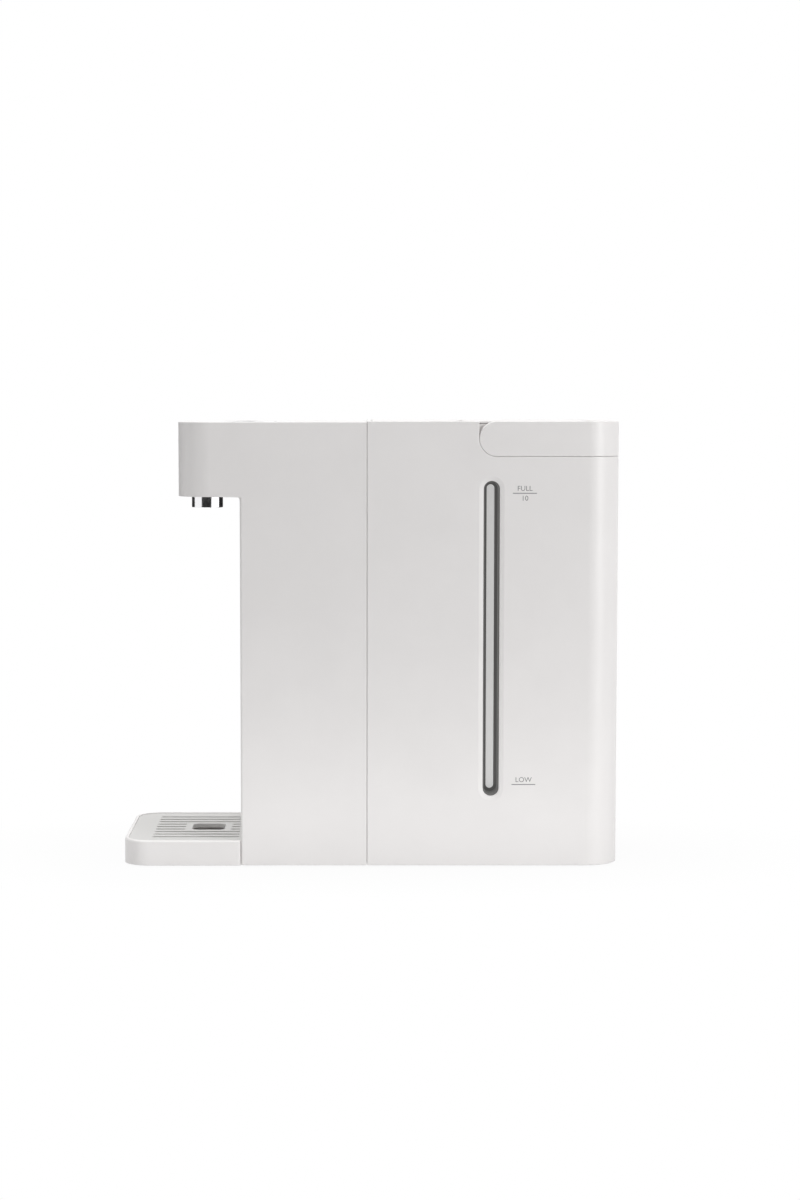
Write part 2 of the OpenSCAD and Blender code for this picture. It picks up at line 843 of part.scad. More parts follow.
module outlet_chamber() {
  color("white")
    difference() {
      union() {
        rod_z(chamber_x, 0, chamber_z, chamber_z + chamber_h, chamber_r);
        rod_z(nozzle_x, 0, chamber_z - spout_len, chamber_z + chamber_wall, spout_r);
        rod_z(nozzle_x, 0, head_floor + nozzle_flange_t, chamber_z + chamber_wall / 2, nozzle_r + 1);
        rod_x(chamber_x, chamber_barb_x, heater_y, run_z, barb_r);
      }
      rod_z(chamber_x, 0, chamber_z + chamber_wall, chamber_z + chamber_h - chamber_wall,
        chamber_r - chamber_wall);
      rod_z(nozzle_x, 0, chamber_z - spout_len - over, chamber_z + chamber_wall + over, outlet_d / 2);
      rod_x(chamber_x, chamber_barb_x + over, heater_y, run_z, barb_bore / 2);
    }
}

module heater_tube() {
  color("silver")
    difference() {
      rod_z(heater_x, heater_y, heater_z, heater_z + heater_len, heater_r);
      rod_z(heater_x, heater_y, heater_z - over, heater_z + heater_len + over, heater_r - heater_t);
    }
}

// Cap with a hose spigot, drawn with its spigot down
module heater_cap(spigot) {
  difference() {
    union() {
      cylinder(r = cap_r, h = cap_h);
      translate([0, 0, -spigot])
        cylinder(r = barb_r, h = spigot + 1);
    }
    translate([0, 0, cap_floor])
      cylinder(r = heater_r + run_gap, h = cap_h);
    translate([0, 0, cap_floor / 2])
      cylinder(r = heater_r - 3, h = cap_h);
    translate([0, 0, -spigot - over])
      cylinder(r = barb_bore / 2, h = spigot + cap_h);
  }
}

module heater_lower_cap() {
  color("dimgray")
    translate([heater_x, heater_y, lower_cap_z])
      heater_cap(lower_cap_z - heater_barb_z);
}

module heater_upper_cap() {
  color("dimgray")
    translate([heater_x, heater_y, heater_top])
      rotate([180, 0, 0])
        heater_cap(barb_len + 3);
}

module heater_clamps() {
  color("gray")
    for (z = clamp_z)
      difference() {
        union() {
          rod_z(heater_x, heater_y, z, z + clamp_h, heater_r + clamp_t);
          block(heater_x, back_x, heater_y - clamp_foot / 4, heater_y + clamp_foot / 4, z, z + clamp_h);
          block(back_x - clamp_t, back_x, heater_y - clamp_foot / 2, heater_y + clamp_foot / 2,
            z - clamp_h / 2, z + clamp_h * 1.5);
        }
        rod_z(heater_x, heater_y, z - over, z + clamp_h + over, heater_r + run_gap);
      }
}

module thermal_cutouts() {
  color("lightgray")
    for (z = [heater_z + (heater_len - cutout_pitch) / 2, heater_z + (heater_len + cutout_pitch) / 2])
      difference() {
        union() {
          rod_x(heater_x - heater_r - cutout_t, heater_x - heater_r * 0.89, heater_y, z, cutout_r);
          for (y = [-1, 1])
            translate([0, heater_y + y * cutout_r / 2, z])
              block(heater_x - heater_r - cutout_t * 1.75, heater_x - heater_r - cutout_t * 0.9, -tab_t / 2,
                tab_t / 2, -tab_w / 2, tab_w / 2);
        }
        rod_z(heater_x, heater_y, z - cutout_r - over, z + cutout_r + over, heater_r + run_gap);
      }
}

module temperature_sensor() {
  color("gold") {
    rod_z(sensor_x, heater_y, heater_top, heater_top + sensor_h / 3, sensor_r);
    rod_z(sensor_x, heater_y, heater_top + sensor_h / 3, heater_top + sensor_h, sensor_r * 0.6);
  }
}

module pump_cover() {
  color("dimgray")
    difference() {
      union() {
        rod_x(housing_x, pump_x, 0, pump_z, pump_d / 2);
        rod_x(pump_x - 1, pump_x + barb_len, 0, pump_z, barb_r);
      }
      rod_x(housing_x - over, pump_x + barb_len + over, 0, pump_z, barb_bore / 2);
    }
}

module pump_housing() {
  color("dimgray")
    difference() {
      union() {
        rod_x(motor_x, housing_x, 0, pump_z, pump_d / 2);
        rod_z(pump_out_x, heater_y, pump_z, pump_out_z, barb_r);
      }
      rod_x(motor_x + pump_wall, housing_x + over, 0, pump_z, volute_r);
      rod_x(motor_x - over, housing_x, 0, pump_z, shaft_d / 2 + run_gap);
      rod_z(pump_out_x, heater_y, pump_z, pump_out_z + over, barb_bore / 2);
    }
}

module pump_motor() {
  color("silver")
    difference() {
      rod_x(motor_x - motor_len, motor_x, 0, pump_z, motor_d / 2);
      rod_x(motor_x - motor_len + 3, motor_x - 3, 0, pump_z, motor_d / 2 - motor_wall);
      rod_x(motor_x - motor_len + 1, motor_x + over, 0, pump_z, shaft_d / 2 + run_gap);
    }
}

module pump_cradle() {
  color("dimgray")
    difference() {
      block(motor_x - motor_len * 5 / 6, motor_x - motor_len / 6, -motor_d * 0.4, motor_d * 0.4, base_top,
        pump_z - motor_d / 4);
      rod_x(motor_x - motor_len, motor_x, 0, pump_z, motor_d / 2 + run_gap);
      // Slots that let the saddle give
      for (y = [-1, 1])
        block(motor_x - motor_len, motor_x, y * motor_d / 4 - saddle_slot / 2,
          y * motor_d / 4 + saddle_slot / 2, base_top + saddle_slot, base_top + 2 * saddle_slot);
    }
}

module impeller() {
  color("ivory")
    translate([motor_x + pump_wall + 1, 0, pump_z])
      rotate([0, 90, 0])
        difference() {
          union() {
            cylinder(r = impeller_r, h = disc_w);
            cylinder(r = shaft_d / 2 + 2, h = disc_w + vane_w);
            for (i = [0 : vanes - 1])
              rotate([0, 0, 360 * i / vanes])
                vane();
          }
          translate([0, 0, -over])
            cylinder(r = shaft_d / 2 + run_gap, h = disc_w + vane_w + 2 * over);
        }
}

// One swept-back vane: part of a ring, cut off inside the hub and at the disc's edge
module vane() {
  bow = impeller_r * 0.62;
  intersection() {
    cylinder(r = impeller_r - 0.4, h = disc_w + vane_w);
    translate([shaft_d / 2 + 1 + bow * 0.5, bow * 0.85, 0])
      difference() {
        cylinder(r = bow, h = disc_w + vane_w);
        translate([0, 0, -over])
          cylinder(r = bow - 1.2, h = disc_w + vane_w + 2 * over);
        translate([-2 * bow, 0, -over])
          cube([4 * bow, 2 * bow, disc_w + vane_w + 2 * over]);
        translate([-2 * bow, -2 * bow, -over])
          cube([2 * bow, 4 * bow, disc_w + vane_w + 2 * over]);
      }
  }
}

module motor_rotor() {
  color("gray") {
    rod_x(motor_x - motor_len + 1.3, motor_x + pump_wall + 1 + disc_w + vane_w, 0, pump_z, shaft_d / 2);
    rod_x(motor_x - motor_len + 6, motor_x - 6, 0, pump_z, motor_d / 2 - motor_wall - 3.5);
  }
}

module inlet_hose() {
  color("lightgray")
    difference() {
      union() {
        rod_x(inlet_x, socket_barb_x + barb_len - 0.5, 0, barb_z, hose_r);
        hose_bend(inlet_x, barb_z + inlet_bend, inlet_bend, 180, hose_r, hose_bore / 2);
        hose_bend(pump_barb_x, barb_z + inlet_bend, inlet_bend, 0, hose_r, hose_bore / 2);
        rod_x(pump_x + 0.5, pump_barb_x, 0, pump_z, hose_r);
      }
      rod_x(inlet_x, socket_barb_x + barb_len + over, 0, barb_z, hose_bore / 2);
      rod_x(pump_x - over, pump_barb_x, 0, pump_z, hose_bore / 2);
    }
}

module pump_hose() {
  color("lightgray")
    difference() {
      rod_z(heater_x, heater_y, pump_out_z - barb_len, heater_barb_z + barb_len, hose_r);
      rod_z(heater_x, heater_y, pump_out_z - barb_len - over, heater_barb_z + barb_len + over, hose_bore / 2);
    }
}

module outlet_hose() {
  bend_z = run_z - outlet_bend;
  bend_x = heater_x - outlet_bend;
  color("lightgray")
    translate([0, heater_y, 0])
      difference() {
        union() {
          rod_z(heater_x, 0, heater_top + 2, bend_z, hose_r);
          hose_bend(bend_x, bend_z, outlet_bend, 0, hose_r, hose_bore / 2);
          rod_x(chamber_barb_x - barb_len + fit_gap, bend_x, 0, run_z, hose_r);
        }
        rod_z(heater_x, 0, heater_top, bend_z, hose_bore / 2);
        rod_x(chamber_barb_x - barb_len, bend_x, 0, run_z, hose_bore / 2);
      }
}

module power_board() {
  color("darkgreen")
    difference() {
      block(power_x - power_w, power_x, power_y - board_t, power_y, power_z, power_z + power_h);
      for (x = power_post_x, z = power_post_z)
        rod_y(power_y - board_t - over, power_y + over, x, z, screw_d / 2 + run_gap);
    }
}

// Block on the power board, placed by shares of the board's width and height and of the tallest part
module board_block(x0, x1, z0, z1, y0, y1) {
  y = power_y - board_t;
  block(power_x - power_w * (1 - x0), power_x - power_w * (1 - x1), y - parts_h * y1, y - parts_h * y0,
    power_z + power_h * z0, power_z + power_h * z1);
}

// Transformer, relays, capacitors and the heat sink of the power switch
module board_parts() {
  y = power_y - board_t;
  color("darkslategray") {
    board_block(0.28, 0.69, 0.11, 0.3, 0, 1);
    board_block(0.22, 0.74, 0.13, 0.28, 0.25, 0.75);
    for (x = [0.16, 0.5])
      board_block(x, x + 0.28, 0.36, 0.52, 0, 0.75);
    for (x = [0.3, 0.6])
      rod_y(y - parts_h * 0.9, y, power_x - power_w * (1 - x), power_z + power_h * 0.61, power_w * 0.11);
    board_block(0.19, 0.78, 0.72, 0.89, 0, 0.15);
    for (x = [0.19 : 0.0925 : 0.75])
      board_block(x, x + 0.035, 0.72, 0.89, 0.1, 0.9);
  }
}

module board_bracket() {
  rim_z = power_z - bracket_rim;
  rim_top = power_z + power_h + bracket_rim;
  color("gainsboro")
    difference() {
      union() {
        block(power_x - power_w - bracket_rim, back_x, bracket_y - bracket_t, bracket_y, rim_z, rim_top);
        block(back_x - bracket_t, back_x, bracket_y - bracket_foot, bracket_y, rim_z, rim_top);
        for (x = power_post_x, z = power_post_z)
          rod_y(power_y, bracket_y - bracket_t / 2, x, z, power_post_r);
      }
      for (x = power_post_x, z = power_post_z)
        rod_y(power_y - over, bracket_y + over, x, z, pilot_r);
      // Lightening windows
      for (z = [power_z + power_h * 0.14, power_z + power_h * 0.55])
        block(power_x - power_w * 0.83, power_x - power_w * 0.17, bracket_y - bracket_t - over,
          bracket_y + over, z, z + power_h * 0.31);
    }
}

module board_screws() {
  color("silver")
    for (x = power_post_x, z = power_post_z)
      translate([x, power_y - board_t - screw_head_h, z])
        rotate([-90, 0, 0]) {
          cylinder(d = screw_head_d, h = screw_head_h);
          cylinder(d = 2 * pilot_r - 2 * run_gap, h = screw_head_h + board_t + board_screw_bite);
        }
}

// Stepped cup that the tank's spigot drops into, with the pin that opens the valve
module tank_socket() {
  color("dimgray")
    difference() {
      union() {
        rod_z(valve_x, 0, cup_z - socket_t, tongue_top, cup_r + cup_t);
        rod_z(valve_x, 0, tongue_top - tongue_t - socket_t, tongue_top - tongue_t - fit_gap / 2,
          socket_lip_r);
        rod_z(valve_x, 0, socket_z, cup_z, socket_r + socket_t);
        rod_x(socket_barb_x, valve_x - socket_r, 0, barb_z, barb_r);
      }
      rod_z(valve_x, 0, cup_z, tongue_top + over, cup_r);
      difference() {
        rod_z(valve_x, 0, socket_z + socket_floor, cup_z + over, socket_r);
        rod_z(valve_x, 0, socket_z, stem_z - probe_gap, stem_d / 2);
      }
      rod_z(valve_x, 0, ring_z - ring_r, ring_z + ring_r, socket_r + ring_r);
      rod_x(socket_barb_x - over, valve_x - socket_r + 1, 0, barb_z, barb_bore / 2);
    }
}

module socket_seal() {
  color("dimgray")
    translate([valve_x, 0, ring_z])
      rotate_extrude()
        translate([socket_r + run_gap, 0])
          circle(r = ring_r - 2 * run_gap, $fn = 32);
}

module cord_gland() {
  color("dimgray")
    difference() {
      union() {
        rod_x(tongue_x - tongue_t - 3, tongue_x + 1, gland_y, gland_z, gland_d / 2 - run_gap);
        rod_x(tongue_x, tongue_x + 2, gland_y, gland_z, gland_d / 2 + 1.5);
      }
      rod_x(tongue_x - tongue_t - 3 - over, tongue_x + 2 + over, gland_y, gland_z, gland_bore / 2);
    }
}

// Water tank

module tank_shell() {
  color("white")
    difference() {
      prism(foot_h, overall_h)
        tank_plan(0, tank_x);
      prism(tank_in_z, overall_h + over)
        tank_plan(shell_t, tank_in_x);
      prism(foot_h - over, tank_floor_h)
        tank_plan(shell_t, tank_in_x);
      block(tank_x - over, tank_in_x + over, -tongue_y - 2, tongue_y + 2, foot_h - over, tank_floor_h);
      handle_recess();
      window_lip();
      window_solid(window_w / 2, -half_w, -in_w + over);
      rod_z(valve_x, 0, tank_floor_h - over, tank_in_z + over, spigot_r + run_gap);
      block(rear_x - shell_t - over, rear_x + over, gland_y - cord_arch_w / 2, gland_y + cord_arch_w / 2,
        foot_h - over, gland_z);
      rod_x(rear_x - shell_t - over, rear_x + over, gland_y, gland_z, cord_arch_w / 2);
    }
}

module tank_top() {
  color("white")
    difference() {
      union() {
        difference() {
          union() {
            prism(deck_z, recess_z)
              tank_plan(shell_t + fit_gap, top_x);
            block(top_x, recess_x, -top_y, top_y, deck_z, overall_h);
            prism(deck_z, neck_top)
              plan(recess_x - over, neck_x, neck_y, 0, grip_r);
          }
          // Seat of the lid's plate, groove of its hinge barrel and the filling mouth
          block(block_x, recess_x + over, -neck_y - fit_gap, neck_y + fit_gap, neck_top, overall_h + over);
          block(block_x, mouth_x0, -mouth_y, mouth_y, hinge_floor, overall_h + over);
          prism(deck_z - over, overall_h + over)
            plan(mouth_x0, mouth_x1, mouth_y, 0, grip_r - neck_t);
          // Hollows of the front block
          block(top_x + neck_t, block_x - neck_t, -top_y + neck_t, top_y - neck_t, deck_z - over,
            overall_h - neck_t);
          block(block_x, mouth_x0 - neck_t, -mouth_y, mouth_y, deck_z - over, hinge_floor - neck_t);
        }
        lid_lugs();
      }
      rod_y(-pin_half, pin_half, lid_x, lid_z, lid_pin_d / 2 + run_gap);
      for (s = [-1, 1])
        rod_y(s > 0 ? mouth_y - over : -neck_y - over, s > 0 ? neck_y + over : -mouth_y + over, pivot_x,
          pivot_z, pivot_d / 2 + run_gap);
    }
}

// Two lugs that carry the lid's hinge pin
module lid_lugs() {
  for (s = [-1, 1]) {
    rod_y(s * lug_y - lug_w / 2, s * lug_y + lug_w / 2, lid_x, lid_z, lug_r);
    block(lid_x - lug_r, lid_x + lug_r, s * lug_y - lug_w / 2, s * lug_y + lug_w / 2, hinge_floor - 0.5,
      lid_z);
  }
}

module lid_pin() {
  color("silver")
    rod_y(-pin_half + fit_gap, pin_half - fit_gap, lid_x, lid_z, lid_pin_d / 2);
}

module handle_pins() {
  color("gray")
    for (s = [-1, 1]) {
      y_in = s * mouth_y;
      y_out = s * (arm_y + pivot_bore - 0.5);
      rod_y(min(y_in, y_out), max(y_in, y_out), pivot_x, pivot_z, pivot_d / 2);
    }
}

module window_frame() {
  color("dimgray")
    difference() {
      union() {
        window_solid(window_w / 2 - run_gap, window_front_y, window_back_y);
        window_solid(rim_r, -in_w, -in_w + rim_t);
      }
      window_solid(channel_r, window_front_y - over, window_back_y - 1.5);
      window_solid(strip_w / 2, window_front_y - over, window_back_y + over);
    }
}

module window_lens() {
  color("lightgray")
    window_solid(window_w / 2 - channel_t, window_back_y, window_back_y + strip_t);
}

module valve_body() {
  color("white")
    difference() {
      union() {
        rod_z(valve_x, 0, spigot_z, guide_z, spigot_r);
        rod_z(valve_x, 0, flange_z, guide_z, valve_flange_d / 2);
        block(valve_x - spigot_r, valve_x + spigot_r, -stem_d, stem_d, guide_z - over, guide_z + guide_t);
      }
      rod_z(valve_x, 0, seat_z, guide_z, spigot_r - spigot_t);
      rod_z(valve_x, 0, spigot_z - over, seat_z + over, seat_r);
      rod_z(valve_x, 0, guide_z - over, guide_z + guide_t + over, stem_d / 2 + run_gap);
    }
}

module valve_nut() {
  color("white")
    difference() {
      translate([valve_x, 0, tank_floor_h - nut_t])
        cylinder(d = valve_flange_d, h = nut_t, $fn = 8);
      rod_z(valve_x, 0, tank_floor_h - nut_t - over, tank_floor_h + over, spigot_r + run_gap);
    }
}

module valve_washer() {
  color("dimgray")
    difference() {
      rod_z(valve_x, 0, tank_in_z, flange_z, valve_flange_d / 2 - 0.5);
      rod_z(valve_x, 0, tank_in_z - over, flange_z + over, spigot_r + run_gap);
    }
}

module valve_poppet() {
  color("dimgray") {
    rod_z(valve_x, 0, disc_z, disc_z + disc_t, disc_r);
    rod_z(valve_x, 0, stem_z, guide_z + guide_t + 2, stem_d / 2);
  }
}

module poppet_seal() {
  color("gray")
    difference() {
      rod_z(valve_x, 0, disc_z - disc_seal_t, disc_z, disc_r);
      rod_z(valve_x, 0, disc_z - disc_seal_t - over, disc_z + over, stem_d / 2 + run_gap);
    }
}

// Points and faces of the valve spring, a tube of six sides swept along a helix
spring_steps = 8 * spring_turns;
spring_sides = 6;
spring_rise = spring_z1 - spring_z0 - spring_wire - 2 * run_gap;
spring_points = [
  for (i = [0 : spring_steps], j = [0 : spring_sides - 1])
    let (
      turn = 360 * spring_turns * i / spring_steps,
      side = 360 * j / spring_sides,
      r = spring_r + spring_wire / 2 * cos(side)
    )
    [r * cos(turn), r * sin(turn), spring_rise * i / spring_steps + spring_wire / 2 * sin(side)]
];
spring_faces = [
  [for (j = [spring_sides - 1 : -1 : 0]) j],
  for (i = [0 : spring_steps - 1], j = [0 : spring_sides - 1])
    let (a = i * spring_sides, b = a + spring_sides, k = (j + 1) % spring_sides)
    for (half = [0, 1])
      half == 0 ? [a + j, a + k, b + k] : [a + j, b + k, b + j],
  [for (j = [0 : spring_sides - 1]) spring_steps * spring_sides + j]
];

module valve_spring() {
  color("silver")
    translate([valve_x, 0, spring_z0 + spring_wire / 2 + run_gap])
      polyhedron(spring_points, spring_faces);
}

// Carrying handle: two arms with round ends and a grip round the tank's back
module carry_handle() {
  color("white")
    difference() {
      union() {
        prism(overall_h - handle_h, overall_h)
          difference() {
            tank_plan(0, pivot_x);
            plan(pivot_x - over, grip_x, arm_y, 0, grip_r);
          }
        for (s = [-1, 1])
          rod_y(s > 0 ? arm_y : -half_w, s > 0 ? half_w : -arm_y, pivot_x, pivot_z, handle_r);
      }
      for (s = [-1, 1]) {
        rod_y(s > 0 ? arm_y - over : -arm_y - pivot_bore, s > 0 ? arm_y + pivot_bore : -arm_y + over,
          pivot_x, pivot_z, pivot_d / 2 + run_gap);
        arm_hollow(s);
      }
      grip_hollow();
      // Finger notches: under the grip's back edge, and beside the lid's back edge
      block(rear_x - finger_depth, rear_x + over, -finger_w / 2, finger_w / 2, overall_h - handle_h - over,
        overall_h - handle_h + finger_h);
      rod_y(-finger_w / 4, finger_w / 4, grip_x, overall_h, finger_depth);
    }
}

// Moulded hollow under an arm, split by a rib
module arm_hollow(s) {
  start = pivot_x + handle_r + 4;
  stop = grip_x - grip_r / 2;
  middle = (start + stop) / 2;
  y0 = s > 0 ? arm_y + handle_wall : -half_w + handle_wall;
  y1 = s > 0 ? half_w - handle_wall : -arm_y - handle_wall;
  for (x = [[start, middle - handle_rib / 2], [middle + handle_rib / 2, stop]])
    block(x[0], x[1], y0, y1, overall_h - handle_h - over, overall_h - handle_wall);
}

// Moulded hollow under the grip, split by two ribs
module grip_hollow() {
  reach = arm_y - grip_r;
  pocket = (2 * reach - 2 * handle_rib) / 3;
  for (i = [0 : 2])
    block(grip_x + handle_wall, rear_x - finger_depth - handle_wall, -reach + i * (pocket + handle_rib),
      -reach + i * (pocket + handle_rib) + pocket, overall_h - handle_h - over,
      overall_h - finger_depth - handle_wall);
}

// Outline of the lid's plug, grown on all sides
module plug_plan(grow) {
  plan(plug_x0 - grow, plug_x1 + grow, plug_y + grow, 0, plug_r + grow);
}

module tank_lid() {
  color("white")
    difference() {
      union() {
        rod_y(-mouth_y + fit_gap, mouth_y - fit_gap, lid_x, lid_z, barrel_r);
        block(lid_x, lid_x + barrel_r + over, -mouth_y + fit_gap, mouth_y - fit_gap, overall_h - lid_t,
          overall_h);
        prism(overall_h - lid_t, overall_h)
          plan(lid_x + barrel_r, neck_x, neck_y, 0, grip_r);
        difference() {
          prism(overall_h - lid_t - plug_h, overall_h - lid_t / 2)
            plug_plan(0);
          prism(overall_h - lid_t - plug_h - over, overall_h - lid_t)
            plug_plan(-plug_t);
        }
      }
      // Slots that clear the lugs, and the bore of the hinge pin
      for (s = [-1, 1])
        block(lid_x - barrel_r - over, lid_x + lug_r + 1, s * lug_y - lug_w / 2 - fit_gap,
          s * lug_y + lug_w / 2 + fit_gap, lid_z - barrel_r - over, overall_h + over);
      rod_y(-pin_half, pin_half, lid_x, lid_z, lid_pin_d / 2 + run_gap);
    }
}

module lid_gasket() {
  color("gray")
    difference() {
      prism(overall_h - lid_t - gasket_h, overall_h - lid_t)
        plug_plan(gasket_t);
      prism(overall_h - lid_t - gasket_h - over, overall_h - lid_t + over)
        plug_plan(0);
    }
}

// Drip tray

module drip_tray() {
  color("white") {
    difference() {
      prism(tray_lift, tray_top)
        plan(tray_x, tray_back, half_w, tray_r, edge_r);
      // The seat of the grille runs out at the back, over the rear wall
      prism(ledge_z, tray_top + over)
        tray_plan(tray_t, tray_back + fit_gap);
      prism(tray_lift + tray_floor_t, ledge_z + over)
        tray_plan(tray_t + ledge_w, tray_back - tray_t - ledge_w);
    }
    for (s = [-1, 1]) {
      block(tray_back - tray_t / 2, column_x + hook_len, s * hook_y - hook_w / 2, s * hook_y + hook_w / 2,
        hook_z, hook_z + hook_t);
      for (x = [tray_x + tray_r, tray_back - tray_r])
        rod_z(x, s * (half_w - tray_r), 0, tray_lift + tray_floor_t / 2, nub_r);
    }
  }
}

// Slot with round ends
module slot(x0, x1, y) {
  r = slot_w / 2;
  translate([x0 + r, y - r])
    square([x1 - x0 - slot_w, slot_w]);
  for (x = [x0 + r, x1 - r])
    translate([x, y])
      circle(r);
}

module drip_grille() {
  color("white")
    prism(ledge_z, grille_top)
      difference() {
        tray_plan(tray_t + fit_gap, tray_back);
        for (i = [0 : slots - 1]) {
          y = (i - (slots - 1) / 2) * slot_pitch;
          if (abs(y) > hole_w / 2 + slot_w / 2)
            slot(slot_x0, slot_x1, y);
          else {
            slot(slot_x0, hole_x - hole_l / 2 - hole_land, y);
            slot(hole_x + hole_l / 2 + hole_land, slot_x1, y);
          }
        }
        translate([hole_x, 0])
          rounded(hole_l, hole_w, hole_r);
      }
}

front_shell();
back_panel();
base();
base_cover();
feet();
base_screws();
panel_screws();
control_panel();
control_board();
nozzle();
nozzle_insert();
outlet_chamber();
heater_tube();
heater_lower_cap();
heater_upper_cap();
heater_clamps();
thermal_cutouts();
temperature_sensor();
pump_cover();
pump_housing();
pump_motor();
pump_cradle();
impeller();
motor_rotor();
inlet_hose();
pump_hose();
outlet_hose();
power_board();
board_parts();
board_bracket();
board_screws();
tank_socket();
socket_seal();
cord_gland();
tank_shell();
tank_top();
window_frame();
window_lens();
handle_pins();
lid_pin();
valve_body();
valve_nut();
valve_washer();
valve_spring();
valve_poppet();
poppet_seal();
carry_handle();
tank_lid();
lid_gasket();
drip_tray();
drip_grille();
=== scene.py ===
import json
import math
import bpy
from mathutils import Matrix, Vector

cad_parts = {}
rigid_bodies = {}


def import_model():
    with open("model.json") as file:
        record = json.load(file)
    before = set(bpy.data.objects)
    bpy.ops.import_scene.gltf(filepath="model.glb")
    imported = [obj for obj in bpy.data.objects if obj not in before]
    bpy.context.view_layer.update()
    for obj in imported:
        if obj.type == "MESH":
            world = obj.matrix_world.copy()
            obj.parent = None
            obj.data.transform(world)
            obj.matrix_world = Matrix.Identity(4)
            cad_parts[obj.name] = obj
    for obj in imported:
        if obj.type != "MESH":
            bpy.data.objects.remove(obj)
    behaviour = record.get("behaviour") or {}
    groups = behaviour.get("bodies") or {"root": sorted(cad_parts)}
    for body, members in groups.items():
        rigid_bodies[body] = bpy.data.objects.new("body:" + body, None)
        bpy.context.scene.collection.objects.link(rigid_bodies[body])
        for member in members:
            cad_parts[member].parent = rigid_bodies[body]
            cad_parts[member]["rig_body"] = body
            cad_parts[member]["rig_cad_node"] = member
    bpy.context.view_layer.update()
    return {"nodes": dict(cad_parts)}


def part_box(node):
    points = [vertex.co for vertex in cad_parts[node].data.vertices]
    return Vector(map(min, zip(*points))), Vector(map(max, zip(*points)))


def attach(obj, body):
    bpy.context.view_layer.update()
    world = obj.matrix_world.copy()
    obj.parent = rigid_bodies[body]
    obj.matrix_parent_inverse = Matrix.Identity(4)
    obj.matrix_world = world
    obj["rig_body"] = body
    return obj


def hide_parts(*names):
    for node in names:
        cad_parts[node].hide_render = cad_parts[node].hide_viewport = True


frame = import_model()

# The camera stands beside the dispenser, level with its top and slightly tilted down, with a
# long lens, as a product photographer sets it for a straight side view.
camera_place = (-0.00576, -1.63136, 0.28757)
camera_tilt = math.radians(85.004)
bpy.ops.object.select_all(action="DESELECT")
bpy.ops.object.camera_add(location=camera_place, rotation=(camera_tilt, 0, 0))
camera = bpy.context.object
camera.data.lens = 78.474
camera.data.sensor_width = 36
camera.data.shift_x = 0.03238
camera.data.shift_y = 0.01864
bpy.context.scene.camera = camera
bpy.context.scene.view_settings.view_transform = "Standard"

# The studio air is plain white wherever it is seen, mirrored or looked through, and lights the
# object only softly.
world = bpy.data.worlds.new("studio_air")
bpy.context.scene.world = world
world.use_nodes = True
air = world.node_tree.nodes
air_links = world.node_tree.links
air["Background"].inputs["Color"].default_value = (1, 1, 1, 1)
air_path = air.new("ShaderNodeLightPath")
air_seen = air.new("ShaderNodeMath")
air_seen.operation = "MAXIMUM"
air_seen_through = air.new("ShaderNodeMath")
air_seen_through.operation = "MAXIMUM"
air_level = air.new("ShaderNodeMapRange")
air_level.inputs["To Min"].default_value = 0.475
air_level.inputs["To Max"].default_value = 1.0
air_links.new(air_path.outputs["Is Camera Ray"], air_seen.inputs[0])
air_links.new(air_path.outputs["Is Glossy Ray"], air_seen.inputs[1])
air_links.new(air_seen.outputs["Value"], air_seen_through.inputs[0])
air_links.new(air_path.outputs["Is Transmission Ray"], air_seen_through.inputs[1])
air_links.new(air_seen_through.outputs["Value"], air_level.inputs["Value"])
air_links.new(air_level.outputs["Result"], air["Background"].inputs["Strength"])

# A broad softbox hangs over the set, a tall one stands towards the tank's back corner, so the front
# corner of the head falls off to grey, and a low strip on the table lifts the lower sides.
for lamp_name, place, aim, size, power in (
    ("overhead_softbox", (-0.8, 0.25, 4.0), (-0.06, 0, 0.02), (3.4, 3.4), 117),
    ("back_corner_softbox", (1.2, -1.0, 0.5), (0.08, 0, 0.14), (0.3, 1.0), 9.3),
    ("table_strip", (0.0, -0.17, 0.012), (0.0, 0.0, 0.01), (0.5, 0.02), 0.068),
):
    bpy.ops.object.select_all(action="DESELECT")
    bpy.ops.object.light_add(type="AREA", location=place)
    lamp = bpy.context.object
    lamp.name = lamp_name
    lamp.data.shape = "RECTANGLE"
    lamp.data.size, lamp.data.size_y = size
    lamp.data.energy = power
    lamp.visible_camera = False
    toward = Vector(aim) - Vector(place)
    lamp.rotation_euler = toward.to_track_quat("-Z", "Y").to_euler()

# The floor is a wide sheet of white paper. It stays white to the eye and in reflections, and
# keeps a faint shadow in an oval round the dispenser's foot.
floor_size = 12
floor_z = -0.0002
bpy.ops.object.select_all(action="DESELECT")
bpy.ops.mesh.primitive_plane_add(size=floor_size, location=(0, 0, floor_z))
floor = bpy.context.object
floor.name = "studio_floor"
paper = bpy.data.materials.new("studio_paper")
paper.use_nodes = True
paper_nodes = paper.node_tree.nodes
paper_links = paper.node_tree.links
paper_shader = paper_nodes["Principled BSDF"]
paper_shader.inputs["Base Color"].default_value = (0.55, 0.55, 0.55, 1)
paper_shader.inputs["Roughness"].default_value = 0.9
paper_white = paper_nodes.new("ShaderNodeEmission")
paper_white.inputs["Strength"].default_value = 1.0
paper_path = paper_nodes.new("ShaderNodeLightPath")
paper_seen = paper_nodes.new("ShaderNodeMath")
paper_seen.operation = "MAXIMUM"
paper_share = paper_nodes.new("ShaderNodeMath")
paper_share.operation = "MULTIPLY"
paper_place = paper_nodes.new("ShaderNodeTexCoord")
paper_oval = paper_nodes.new("ShaderNodeVectorMath")
paper_oval.operation = "MULTIPLY"
paper_oval.inputs[1].default_value = (3.0, 6.0, 0)
paper_reach = paper_nodes.new("ShaderNodeVectorMath")
paper_reach.operation = "LENGTH"
paper_fade = paper_nodes.new("ShaderNodeMapRange")
paper_fade.inputs["From Min"].default_value = 0.4
paper_fade.inputs["From Max"].default_value = 0.95
paper_fade.inputs["To Min"].default_value = 0.95
